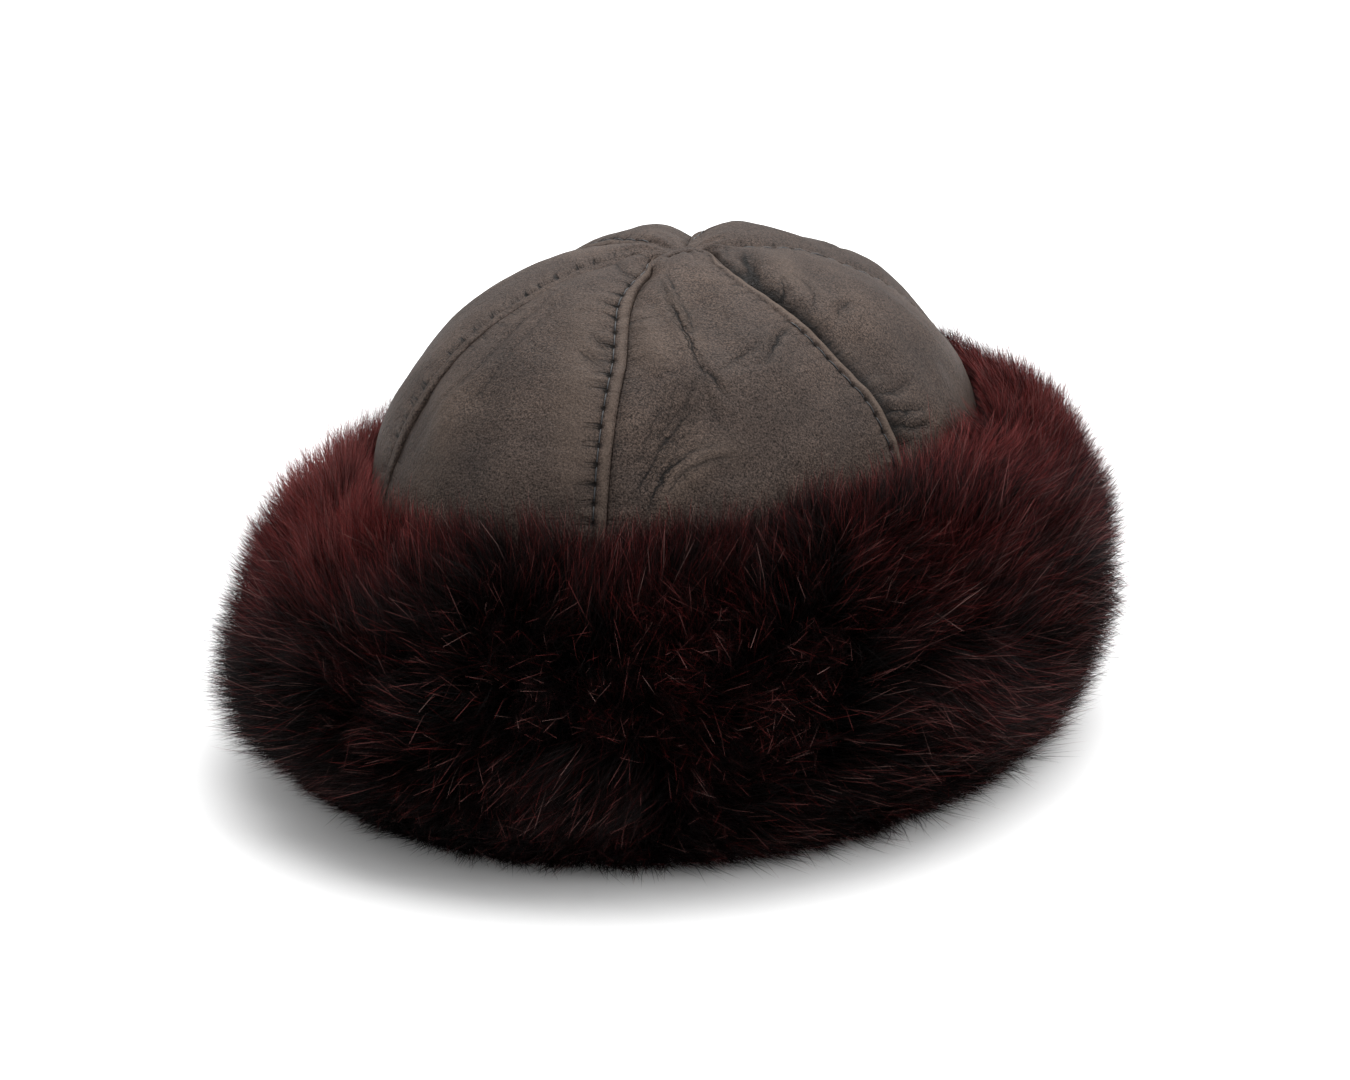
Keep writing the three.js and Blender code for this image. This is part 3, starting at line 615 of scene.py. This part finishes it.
def build_gore(gore):
    runs = np.array(RUN_UNDER_FUR + list(np.linspace(0.0, arc_runs[-1], GORE_ROWS)))
    middle_count = MIDDLE_COLUMNS[gore]
    column_count = len(LEFT_COLUMNS) + middle_count + len(RIGHT_COLUMNS)

    bm = bmesh.new()
    bmesh.ops.create_grid(bm, x_segments=column_count - 1, y_segments=len(runs) - 1, size=0.5)
    outer = bm.faces[:] + bm.edges[:] + bm.verts[:]
    copied = bmesh.ops.extrude_face_region(bm, geom=outer, use_keep_orig=True)
    inner = [item for item in copied["geom"] if isinstance(item, bmesh.types.BMVert)]
    bmesh.ops.translate(bm, verts=inner, vec=(0.0, 0.0, -1.0))

    spots = np.array([vert.co for vert in bm.verts])
    column = np.rint((spots[:, 0] + 0.5) * (column_count - 1)).astype(int)
    run = runs[np.rint((spots[:, 1] + 0.5) * (len(runs) - 1)).astype(int)]
    _, _, width, seam = gore_edges(gore, run)
    left = np.array(LEFT_COLUMNS)[np.clip(column, 0, len(LEFT_COLUMNS) - 1)] * seam
    right_index = np.clip(column - len(LEFT_COLUMNS) - middle_count, 0, len(RIGHT_COLUMNS) - 1)
    right = width - np.array(RIGHT_COLUMNS)[right_index] * seam
    share = (column - len(LEFT_COLUMNS) + 1) / (middle_count + 1)
    between = LEFT_COLUMNS[-1] * seam * (1.0 - share) + (width - RIGHT_COLUMNS[0] * seam) * share
    from_left = np.where(column < len(LEFT_COLUMNS), left, np.where(share < 1.0, between, right))
    gap = np.minimum(EDGE_GAP, 0.4 * width)
    across = (gap + from_left * (1.0 - 2.0 * gap / width)) / width

    point, marks = gore_surface(gore, across, run, spots[:, 2] < -0.5)
    for vert, co in zip(bm.verts, point):
        vert.co = Vector(co) * MILLIMETRE + crown_middle
    for name, values in marks.items():
        layer = bm.verts.layers.float.new(name)
        for vert, value in zip(bm.verts, values):
            vert[layer] = value
    bmesh.ops.remove_doubles(bm, verts=bm.verts, dist=0.00002)
    piece = shell_piece(bm, GORES[gore] + "_leather", crown_leather)
    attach(piece, "root")
    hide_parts(GORES[gore])


for index in range(len(GORES)):
    build_gore(index)


# The front seam's folded edge, at the tip. The fold of the seam beside the front gore runs on over the
# tip of the next one and down into that one's own seam, as a soft rounded lip.
LIP_PATH = [
    (20, 76), (18, 81), (6, 84), (-2, 86.5), (-12, 89.4),
    (128, 89.1), (106, 86.8), (93, 84), (81, 81), (80, 75),
]
LIP_HALF_WIDTH, LIP_HALF_HEIGHT, LIP_RISE = 1.5, 0.95, 0.55
FAR_FROM_SEAMS = 20.0
LIP_RINGS, LIP_SIDES = 60, 14


def softened(line, times):
    """Points of an open line, each drawn towards its neighbours a number of times."""
    for _ in range(times):
        line[1:-1] = 0.25 * line[:-2] + 0.5 * line[1:-1] + 0.25 * line[2:]
    return line


def build_lip():
    turns, climbs = np.array(LIP_PATH, float).T
    marks, outward = crown_place(np.radians(turns), run_at(climbs))
    centre = softened(resampled(softened(marks, 2), LIP_RINGS), 6)
    above = unit(resampled(outward, LIP_RINGS))
    sideways = unit(np.cross(unit(np.gradient(centre, axis=0)), above))
    fade = np.sin(np.pi * np.linspace(0.02, 0.98, LIP_RINGS)) ** 0.35
    bm = bmesh.new()
    bmesh.ops.create_cone(bm, cap_ends=True, segments=LIP_SIDES, radius1=1.0, radius2=1.0, depth=1.0)
    sides = [edge for edge in bm.edges if abs(edge.verts[0].co.z - edge.verts[1].co.z) > 0.5]
    bmesh.ops.subdivide_edges(bm, edges=sides, cuts=LIP_RINGS - 2, use_grid_fill=True)
    for vert in bm.verts:
        ring = int(round((vert.co.z + 0.5) * (LIP_RINGS - 1)))
        wide = vert.co.x * LIP_HALF_WIDTH * fade[ring]
        high = vert.co.y * LIP_HALF_HEIGHT * fade[ring] + LIP_RISE
        spot = centre[ring] + sideways[ring] * wide + above[ring] * high
        vert.co = Vector(spot) * MILLIMETRE + crown_middle
    for name in ("from_right", "from_left", "crease_gap"):
        layer = bm.verts.layers.float.new(name)
        for vert in bm.verts:
            vert[layer] = FAR_FROM_SEAMS
    piece = shell_piece(bm, "crown_lip", crown_leather)
    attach(piece, "root")


build_lip()


# Topstitching. A dark bonded thread runs along the foot of every ridge in short stitches that sink
# into the leather at both ends.
THREAD_RADIUS, THREAD_SIDES, THREAD_LIFT = 0.20, 6, 0.12
STITCH_LENGTH, LOOK_AHEAD = 4.9, 0.4
FIRST_STITCH, STITCH_OFFSET, NARROWEST_SEWN = 18.0, 0.08, 13.0
THREAD_COLOURS = [(0.35, (0.009, 0.0105, 0.0125)), (0.7, (0.027, 0.030, 0.035))]

# A stitch: how far along it, how high and how thick, as a share of the thread.
STITCH_SHAPE = [
    (0.0, -0.45, 0.5), (0.12, 0.0, 0.9), (0.5, 0.10, 1.0), (0.88, 0.0, 0.9), (1.0, -0.45, 0.5),
]


def thread_material():
    material, tree, shader = new_material("dark_thread", 0.42)
    place = add_node(tree, "ShaderNodeTexCoord").outputs["Object"]
    twist = noise_on(tree, place, 2600.0, 2.0, 0.5)
    tree.links.new(colour_ramp(tree, twist, THREAD_COLOURS), shader.inputs["Base Color"])
    return material


def build_stitches():
    corners, faces = [], []
    for gore in range(len(GORES)):
        first = math.ceil(FIRST_STITCH / STITCH_PITCH)
        starts = (np.arange(first, int(arc_runs[-1] / STITCH_PITCH)) + STITCH_OFFSET) * STITCH_PITCH
        starts = starts[gore_edges(gore, starts)[2] > NARROWEST_SEWN]
        starts = starts[np.degrees(meridian(starts)[0]) < SEAMS[gore]["thread"]]
        if not len(starts):
            continue
        rings = []
        for share, rise, thick in STITCH_SHAPE:
            run = starts + share * STITCH_LENGTH
            start, span, width, seam = gore_edges(gore, run)
            across = 1.0 - STITCH_LINE * seam / width
            point, _ = gore_surface(gore, across, run)
            ahead, _ = gore_surface(gore, across, run + LOOK_AHEAD)
            _, outward = crown_place(start + across * span, run)
            sideways = unit(np.cross(outward, unit(ahead - point)))
            centre = point + outward * (rise + THREAD_LIFT)
            for step in range(THREAD_SIDES):
                angle = 2.0 * np.pi * step / THREAD_SIDES
                offset = sideways * math.cos(angle) + outward * math.sin(angle)
                rings.append(centre + offset * THREAD_RADIUS * thick)
        for stitch in np.stack(rings, axis=1):
            base = len(corners)
            corners.extend(stitch)
            for ring in range(len(STITCH_SHAPE) - 1):
                for step in range(THREAD_SIDES):
                    after = (step + 1) % THREAD_SIDES
                    low, high = base + ring * THREAD_SIDES, base + (ring + 1) * THREAD_SIDES
                    faces.append((low + step, low + after, high + after, high + step))
            faces.append(tuple(base + THREAD_SIDES - 1 - step for step in range(THREAD_SIDES)))
            last = base + (len(STITCH_SHAPE) - 1) * THREAD_SIDES
            faces.append(tuple(last + step for step in range(THREAD_SIDES)))
    mesh = bpy.data.meshes.new("crown_stitches")
    places = np.array(corners) * MILLIMETRE + np.array(crown_middle)
    mesh.from_pydata(places.tolist(), [], faces)
    mesh.shade_smooth()
    piece = link_piece(mesh, thread_material())
    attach(piece, "root")


build_stitches()


# Fur cuff, its pelt. A ring of dark skin and dense short underfur, which follows the crown on its
# inner side and rests on its flat underside. The long hairs are rooted in it.
FUR_REACH, FUR_WIDEST, FUR_TOP = 47.0, 36.0, 101.0
TOP_REACH, FOOT_REACH, ROUND_ABOVE, ROUND_BELOW = 7.0, 18.5, 1.85, 1.5
SIDE_REACH, FOOT_SIDE_REACH = 3.0, 8.0
REACH_LEAN, TOP_LEAN, WIDEST_LEAN = (-3.0, -1.5), (4.5, 0.5), (7.0, 4.5)
PELT_INSET, PELT_FOOT = 21.0, 8.0
INNER_CLEARANCE = 0.7
PELT_SIDES, PELT_STEPS = 160, 26
PELT_LIP, PELT_LIP_HEIGHT, PELT_DOME_RUNS, PELT_DOME_GAP = -3.0, 2.5, (6.0, 12.0), 2.1
TOP_DROP = 0.36
PELT_COLOURS = [(0.3, (0.003, 0.0012, 0.0013)), (0.7, (0.012, 0.003, 0.0035))]
# Colours along a hair's shade, which carries its random tone and the painted light and shade of grow_hairs.
FUR_COLOURS = [
    (0.0, (0.0017, 0.0009, 0.0010)),
    (0.22, (0.0042, 0.0014, 0.0014)),
    (0.42, (0.0175, 0.0027, 0.0029)),
    (0.60, (0.0640, 0.0070, 0.0070)),
    (0.78, (0.1400, 0.0230, 0.0216)),
    (0.92, (0.1824, 0.0798, 0.0730)),
    (1.0, (0.2584, 0.1748, 0.1558)),
]
# Along each hair: roots darkened as painted shade of the fur's depth, tips brightened as painted light.
ROOT_SHADE_TO_TIP_LIGHT = [(0.0, 0.03), (0.50, 0.12), (0.78, 0.52), (0.92, 1.36), (1.0, 2.60)]


def cuff_form(turn, inset, foot=FOOT_REACH):
    """Distance out from the crown's wall and height on the fur's outline, drawn in by an inset."""
    angle = np.radians(np.clip(turn, -90.0, 90.0))
    power = 2.0 / np.where(turn < 0.0, ROUND_BELOW, ROUND_ABOVE)
    bulge = np.cos(angle) ** power
    climb = np.abs(np.sin(angle)) ** power
    end = np.where(turn < 0.0, foot, TOP_REACH)
    rise = np.where(turn < 0.0, -FUR_WIDEST, FUR_TOP - inset - FUR_WIDEST)
    out = end + (FUR_REACH - inset - end) * bulge - TOP_DROP * np.clip(turn - 90.0, 0.0, None)
    return out, FUR_WIDEST + rise * climb


def cuff_place(turn_round, out, height):
    """Points of the cuff in millimetres, from distances out and heights."""
    x, y = np.sin(turn_round), -np.cos(turn_round)
    at_foot = FOOT_SIDE_REACH * np.clip(1.0 - height / FUR_WIDEST, 0.0, None)
    side = (SIDE_REACH + at_foot) * (x * x - y * y)
    wider = 1.0 + (side + REACH_LEAN[0] * x + REACH_LEAN[1] * y) / FUR_REACH
    taller = 1.0 + (TOP_LEAN[0] * x + TOP_LEAN[1] * y) / FUR_TOP
    swell = (WIDEST_LEAN[0] * x + WIDEST_LEAN[1] * y) * np.sin(np.pi * height / FUR_TOP)
    outer = out > INNER_CLEARANCE
    reach = np.where(outer, out * wider, out)
    raised = height * taller + np.where(outer, swell, 0.0)
    return np.stack([x * (HALF_WIDTH + reach), y * (HALF_LENGTH + reach), raised], axis=-1)


def fur_colours(tree, shade, along):
    """Dyed fur by each hair's own shade, from near black roots, a painted shade, to paler tips, a painted
    light.
    """
    length = colour_ramp(tree, shade, FUR_COLOURS)
    mixed = add_node(tree, "ShaderNodeVectorMath", operation="MULTIPLY", Vector=length)
    fade = [(place, (value, value, value)) for place, value in ROOT_SHADE_TO_TIP_LIGHT]
    tree.links.new(colour_ramp(tree, along, fade), mixed.inputs[1])
    return mixed.outputs["Vector"]


def pelt_material():
    material, tree, shader = new_material("fur_pelt", 0.85, 0.15)
    place = add_node(tree, "ShaderNodeTexCoord").outputs["Object"]
    tuft = noise_on(tree, place, 160.0, 6.0, 0.7)
    tree.links.new(colour_ramp(tree, tuft, PELT_COLOURS), shader.inputs["Base Color"])
    bump = add_node(tree, "ShaderNodeBump", Strength=0.9, Distance=0.002, Height=tuft)
    tree.links.new(bump.outputs["Normal"], shader.inputs["Normal"])
    return material


def build_pelt():
    profile = [(PELT_LIP, 0.0), (PELT_LIP, PELT_LIP_HEIGHT)]
    profile += [(INNER_CLEARANCE, PELT_LIP_HEIGHT), (INNER_CLEARANCE, WALL_TOP)]
    for run in PELT_DOME_RUNS:
        _, reach, height = meridian(run)
        profile.append((HALF_WIDTH * (reach - 1.0) + PELT_DOME_GAP, float(height)))
    for step in range(PELT_STEPS + 1):
        out, height = cuff_form(88.0 - 178.0 * step / PELT_STEPS, PELT_INSET, PELT_FOOT)
        profile.append((float(out), float(height)))
    bm = bmesh.new()
    ring = [bm.verts.new((HALF_WIDTH + out, 0.0, height)) for out, height in profile]
    edges = [bm.edges.new((one, other)) for one, other in zip(ring, ring[1:] + ring[:1])]
    bmesh.ops.spin(
        bm, geom=ring + edges, cent=(0, 0, 0), axis=(0, 0, 1), dvec=(0, 0, 0),
        angle=2.0 * math.pi, steps=PELT_SIDES, use_merge=True,
    )
    bmesh.ops.remove_doubles(bm, verts=bm.verts, dist=0.001)
    for vert in bm.verts:
        out = math.hypot(vert.co.x, vert.co.y) - HALF_WIDTH
        turn_round = math.atan2(vert.co.x, -vert.co.y)
        vert.co = Vector(cuff_place(turn_round, out, vert.co.z)) * MILLIMETRE + crown_middle
    piece = shell_piece(bm, "fur_pelt", pelt_material())
    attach(piece, "root")
    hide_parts("fur_cuff")


build_pelt()


# Fur cuff, its hair. Dyed burgundy fur: short dense underfur and longer guard hairs that stand
# straight out of the pelt, lean a little up to the crown's edge and down to the foot, and gather into
# soft tufts at their tips.
FUR_SEED = 7
SECTORS = ["fur_" + name for name in PARTS_ROUND]
GUARD_HAIRS, UNDER_HAIRS = 14500, 18000
GUARD_WIDTHS, UNDER_WIDTHS = (0.22, 0.23, 0.15), (0.34, 0.28)
PARTING, PARTING_SOFTNESS, LAY, TOP_LAY = 4.0, 45.0, 2.5, 3.0
LOWEST_TURN, HIGHEST_TURN = -84.0, 114.0
FRINGE_REACH = 19.0
ROUND_LENGTH = 2.0 * math.pi * 128.0
GUARD_POINTS, UNDER_POINTS = 4, 3
ROOT_SPREAD, LOWEST_ROOT, HIGHEST_ROOT = 4.0, -72.0, 89.0
SWAY, SWAY_SPREAD = 5.0, 2.6
GUARD_RISE, GUARD_SPREAD, LONG_RISE, LONG_SHARE = 1.8, 2.0, 2.5, 0.08
UNDER_DROP, UNDER_SPREAD, LONGER_AT_SIDE = 3.0, 2.5, 2.4
UNEVEN_FOOT, LONG_FOOT, SHORT_FOOT = 3.0, (72.0, 18.0), 24.0
TIP_SPREAD, ROUND_SPREAD, LOOSENESS = 3.2, 3.4, 0.7
HAIR_GAP, HAIR_GAP_SPREAD, GROUND_GAP = 0.4, 1.6, 0.7
PALEST, SHADE_SPREAD, PALE_SHADES = 0.82, 0.16, (0.76, 0.97)

# Tufts: size, pull on the hair tips, how far they drift, and how tufts differ in height and shade.
TUFTS = [(32.0, 0.08, 7.0, 2.2, 0.08), (12.0, 0.12, 4.5, 1.7, 0.06), (2.8, 0.30, 2.0, 1.3, 0.06)]

form_turns = np.linspace(LOWEST_TURN, HIGHEST_TURN, 300)
form_out, form_height = cuff_form(form_turns, 0.0)
form_runs = np.concatenate([[0.0], np.cumsum(np.hypot(np.diff(form_out), np.diff(form_height)))])
fur_random = np.random.default_rng(FUR_SEED)


def tuft_table(size):
    across = max(3, int(round(ROUND_LENGTH / size)))
    upward = int(form_runs[-1] / size) + 3
    return fur_random.uniform(-1.0, 1.0, (across, upward, 6))


tuft_tables = [tuft_table(size) for size, *_ in TUFTS]


def nearest_tuft(round_run, up_run, size, table):
    """Where the nearest tuft stands, and its own differences."""
    across, upward = table.shape[:2]
    wide = ROUND_LENGTH / across
    column = np.floor(round_run / wide).astype(int)
    row = np.floor(up_run / size).astype(int)
    best = np.full(len(round_run), 1e9)
    found = np.zeros((len(round_run), 8))
    for step_x in (-1, 0, 1):
        for step_y in (-1, 0, 1):
            i, j = column + step_x, np.clip(row + step_y + 1, 0, upward - 1)
            own = table[i % across, j]
            x = (i + 0.5 + 0.42 * own[:, 0]) * wide
            y = (row + step_y + 0.5 + 0.42 * own[:, 1]) * size
            gap = np.hypot(x - round_run, y - up_run)
            nearer = gap < best
            best = np.where(nearer, gap, best)
            found = np.where(nearer[:, None], np.column_stack([x, y, own]), found)
    return found


def clear_of_crown(point, clearance):
    """Points moved out of the crown's leather, and up off the ground."""
    turn = np.arctan2(point[:, 0] / HALF_WIDTH, -point[:, 1] / HALF_LENGTH)
    height = point[:, 2]
    climb = np.arcsin(np.clip((height - WALL_TOP) / DOME_RISE, 0.0, 0.999))
    reach = np.cos(climb) ** FULLNESS
    share = np.full(len(point), 0.5)
    for gore in range(len(GORES)):
        start = seam_turn(gore - 1, climb)
        within = np.mod(turn - start, 2.0 * np.pi) / (seam_turn(gore, climb) - start)
        share = np.where(within < 1.0, within, share)
    puffed = puff_height(share) * smooth(np.degrees(climb), *PUFF_STARTS)
    limit = reach + (puffed + clearance) / (0.5 * (HALF_WIDTH + HALF_LENGTH))
    now = np.hypot(point[:, 0] / HALF_WIDTH, point[:, 1] / HALF_LENGTH)
    grow = np.maximum(1.0, limit / np.maximum(now, 1e-6))
    moved = point * np.column_stack([grow, grow, np.ones(len(grow))])
    moved[:, 2] = np.maximum(moved[:, 2], GROUND_GAP + 0.8 * np.clip(clearance, 0.0, 1.0))
    return moved


def grow_hairs(count, sector, guard):
    """Points along each hair, from root to tip, and the shade of each hair."""
    middle = sector * 2.0 * np.pi / len(SECTORS)
    turn = middle + fur_random.uniform(-0.5, 0.5, count) * 2.0 * np.pi / len(SECTORS)
    turn_degrees = np.degrees(np.mod(turn + np.pi / 2.0, 2.0 * np.pi)) - 90.0
    up_run = np.maximum(0.0, fur_random.uniform(-6.0 if guard else 0.0, form_runs[-1], count))
    round_run = np.mod(turn, 2.0 * np.pi) / (2.0 * np.pi) * ROUND_LENGTH
    tip_turn = np.interp(up_run, form_runs, form_turns)
    tip_x, tip_y = round_run.copy(), up_run.copy()
    rise = np.zeros(count)
    shade = np.zeros(count)
    for (size, pull, drift, height, tone), table in zip(TUFTS, tuft_tables):
        own = nearest_tuft(round_run, up_run, size, table)
        pull = pull * (1.0 - 0.6 * smooth(tip_turn, 5.0, 55.0))
        tip_x = tip_x + pull * (own[:, 0] - round_run) + drift * own[:, 4]
        tip_y = tip_y + pull * (own[:, 1] - up_run) + drift * own[:, 5]
        rise += height * own[:, 6]
        shade += tone * own[:, 7]
        clump = own[:, 6]

    # Each hair leans up or down from the parting, and sideways away from the hat's front left.
    lean = LAY * np.tanh((tip_turn - PARTING) / PARTING_SOFTNESS) + TOP_LAY * smooth(tip_turn, 35.0, 100.0)
    root_turn = tip_turn - lean + fur_random.normal(0.0, ROOT_SPREAD, count)
    root_turn = np.clip(root_turn, LOWEST_ROOT, HIGHEST_ROOT)
    sway = SWAY * np.sin(turn - LOOK_TURN) + fur_random.normal(0.0, SWAY_SPREAD, count)
    root_round = turn - sway / (ROUND_LENGTH / (2.0 * np.pi))

    if guard:
        rise += fur_random.normal(GUARD_RISE, GUARD_SPREAD, count)
        rise += LONG_RISE * (fur_random.random(count) < LONG_SHARE)
    else:
        rise = rise - UNDER_DROP + fur_random.normal(0.0, UNDER_SPREAD, count)
    rise += LONGER_AT_SIDE * smooth(tip_turn, -45.0, -10.0) * (1.0 - smooth(tip_turn, 50.0, 85.0))
    uneven = hump(turn_degrees - LONG_FOOT[0], LONG_FOOT[1]) - hump(turn_degrees, SHORT_FOOT)
    foot_part = smooth(-tip_turn, 10.0, 60.0)
    rise += UNEVEN_FOOT * smooth(-tip_turn, 0.0, 50.0) * uneven
    rise += foot_part * (fur_random.normal(-1.5, 2.2, count) if guard else -2.5)
    final_run = np.clip(tip_y + fur_random.normal(0.0, TIP_SPREAD, count), 0.0, form_runs[-1])
    final_turn = np.interp(final_run, form_runs, form_turns)
    final_round = (tip_x + fur_random.normal(0.0, ROUND_SPREAD, count)) / ROUND_LENGTH * 2.0 * np.pi

    # The longest hairs at the foot splay out over whatever the hat stands on.
    splay = FRINGE_REACH * fur_random.random(count) ** 1.3 * smooth(-final_turn, 45.0, 78.0)
    splay = splay * (0.55 + 0.45 * clump) * guard

    root = cuff_place(root_round, *cuff_form(root_turn, PELT_INSET + 0.8, PELT_FOOT))
    over_root = cuff_place(root_round, *cuff_form(root_turn, 2.0))
    tip = cuff_place(final_round, *cuff_form(final_turn, -rise, FOOT_REACH + splay))
    bend = root + (over_root - root) * fur_random.uniform(0.5, 0.85, (count, 1))
    path = []
    for place in np.linspace(0.0, 1.0, GUARD_POINTS if guard else UNDER_POINTS):
        point = root * (1 - place) ** 2 + bend * 2 * place * (1 - place) + tip * place ** 2
        loose = fur_random.normal(0.0, LOOSENESS, point.shape) * place
        clearance = HAIR_GAP + HAIR_GAP_SPREAD * place * fur_random.random(count)
        path.append(clear_of_crown(point + loose, clearance))
    path = np.stack(path, axis=1)

    # Each hair's shade: its tufts' and its own random tone, with painted light that makes the upper fur
    # paler and redder, most of all at the two sides as seen from the camera's direction, and painted shade
    # darkening the lower left.
    upper = smooth(final_turn, 2.0, 84.0)
    round_turn = turn - LOOK_TURN
    sides = (0.5 - 0.5 * np.cos(2.0 * round_turn)) ** 1.4 * (1.0 - 0.27 * np.sin(round_turn))
    shaded_low_left = np.clip(-np.sin(round_turn), 0.0, 1.0) * (1.0 - upper)
    shade = shade + 0.18 + (0.11 + 0.45 * sides) * upper + 0.05 * sides - 0.14 * shaded_low_left
    shade = np.minimum(shade + fur_random.normal(0.0, SHADE_SPREAD, count), PALEST)
    # A few guard hairs are pale, partly paler hairs and partly painted glints, more of them low on the
    # right.
    if guard:
        pale_share = 0.06 + (0.035 + 0.10 * np.clip(np.sin(round_turn), 0.0, 1.0)) * (1.0 - upper)
        pale = fur_random.random(count) < pale_share
        shade = np.where(pale, np.maximum(shade, fur_random.uniform(*PALE_SHADES, count)), shade)
    return path, np.clip(shade, 0.01, 0.99)


def ribbons(path, shade, widths):
    """Corners, triangles and map places of flat tapering ribbons laid along the hairs."""
    count, steps = path.shape[:2]
    along = unit(np.gradient(path, axis=1))
    middle = path[:, :1] * np.array([1.0, 1.0, 0.0]) * 0.8 + np.array([0.0, 0.0, 38.0])
    flat = unit(np.cross(along, unit(path - middle)), 1e-6)
    facing = np.cross(flat, along)
    roll = fur_random.normal(0.0, 0.75, (count, 1))
    roll = roll + fur_random.normal(0.0, 0.5, (count, 1)) * np.arange(steps) / steps
    sideways = flat * np.cos(roll)[..., None] + facing * np.sin(roll)[..., None]
    thick = fur_random.uniform(0.75, 1.15, (count, 1, 1))
    thick = thick * (1.0 + 0.15 * smooth(shade, 0.55, 0.85))[:, None, None]
    half = sideways[:, :-1] * (np.array(widths) / 2.0)[None, :, None] * thick
    pairs = np.stack([path[:, :-1] - half, path[:, :-1] + half], axis=2).reshape(count, -1, 3)
    corners = np.concatenate([pairs, path[:, -1:]], axis=1)
    each = corners.shape[1]
    one = []
    for step in range(steps - 2):
        low = 2 * step
        one += [(low, low + 1, low + 3), (low, low + 3, low + 2)]
    one.append((each - 3, each - 2, each - 1))
    triangles = np.array(one)[None] + (np.arange(count) * each)[:, None, None]
    place = np.repeat(np.arange(steps - 1) / (steps - 1), 2)
    map_v = np.tile(np.append(place, 1.0), (count, 1))
    nudge = np.append(np.tile([-0.002, 0.002], steps - 1), 0.0)
    map_u = shade[:, None] + nudge[None]
    return corners.reshape(-1, 3), triangles.reshape(-1, 3), np.stack([map_u, map_v], axis=2).reshape(-1, 2)


def hair_material():
    material, tree, shader = new_material("fur_hair", 0.5, 0.09)
    own_map = add_node(tree, "ShaderNodeUVMap", uv_map="OFBake")
    parts = add_node(tree, "ShaderNodeSeparateXYZ", Vector=own_map.outputs["UV"])
    tree.links.new(fur_colours(tree, parts.outputs["X"], parts.outputs["Y"]), shader.inputs["Base Color"])
    return material


def build_hair(name, sector, material):
    guard = grow_hairs(GUARD_HAIRS, sector, True)
    under = grow_hairs(UNDER_HAIRS, sector, False)
    guard = ribbons(*guard, GUARD_WIDTHS)
    under = ribbons(*under, UNDER_WIDTHS)
    corners = np.concatenate([guard[0], under[0]]) * MILLIMETRE + np.array(crown_middle)
    triangles = np.concatenate([guard[1], under[1] + len(guard[0])])
    places = np.concatenate([guard[2], under[2]])
    mesh = bpy.data.meshes.new(name)
    mesh.vertices.add(len(corners))
    mesh.vertices.foreach_set("co", corners.astype(np.float32).ravel())
    mesh.loops.add(triangles.size)
    mesh.loops.foreach_set("vertex_index", triangles.astype(np.int32).ravel())
    mesh.polygons.add(len(triangles))
    mesh.polygons.foreach_set("loop_start", np.arange(0, triangles.size, 3, dtype=np.int32))
    uv = mesh.uv_layers.new(name="OFBake")
    uv.data.foreach_set("uv", places[triangles.ravel()].astype(np.float32).ravel())
    mesh.update(calc_edges=True)
    mesh.validate()
    mesh.shade_smooth()
    piece = link_piece(mesh, material)
    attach(piece, "root")
    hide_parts("fur_cuff")


fur_hair = hair_material()
for index, name in enumerate(SECTORS):
    build_hair(name, index, fur_hair)


# Floor and light. A plain pale studio floor, a large soft light overhead and a little behind, and
# weak fill from the front.
floor_bm = bmesh.new()
bmesh.ops.create_grid(floor_bm, x_segments=1, y_segments=1, size=6.0)
floor_mesh = bpy.data.meshes.new("floor")
floor_bm.to_mesh(floor_mesh)
floor_bm.free()
floor_material, _, floor_shader = new_material("pale_floor", 0.9)
floor_shader.inputs["Base Color"].default_value = (0.86, 0.86, 0.86, 1.0)
floor = link_piece(floor_mesh, floor_material)

# The lights: name, place, size and power.
LIGHTS = [
    ("overhead", (-0.12, 0.55, 1.6), 2.4, 66.0),
    ("left_soft", (-1.1, -0.7, 1.0), 0.9, 3.0),
    ("right_soft", (1.3, 0.1, 0.9), 0.9, 8.0),
]
for light_name, light_place, light_size, power in LIGHTS:
    data = bpy.data.lights.new(light_name, "AREA")
    data.energy = power
    data.size = light_size
    lamp = bpy.data.objects.new(light_name, data)
    lamp.location = light_place
    lamp.rotation_euler = (Vector((0, 0, 0.06)) - lamp.location).to_track_quat("-Z", "Y").to_euler()
    scene.collection.objects.link(lamp)

world = bpy.data.worlds.new("studio")
scene.world = world
world.use_nodes = True
background = world.node_tree.nodes["Background"]
background.inputs["Color"].default_value = (1.0, 1.0, 1.0, 1.0)
background.inputs["Strength"].default_value = 0.70
scene.view_settings.view_transform = "Standard"
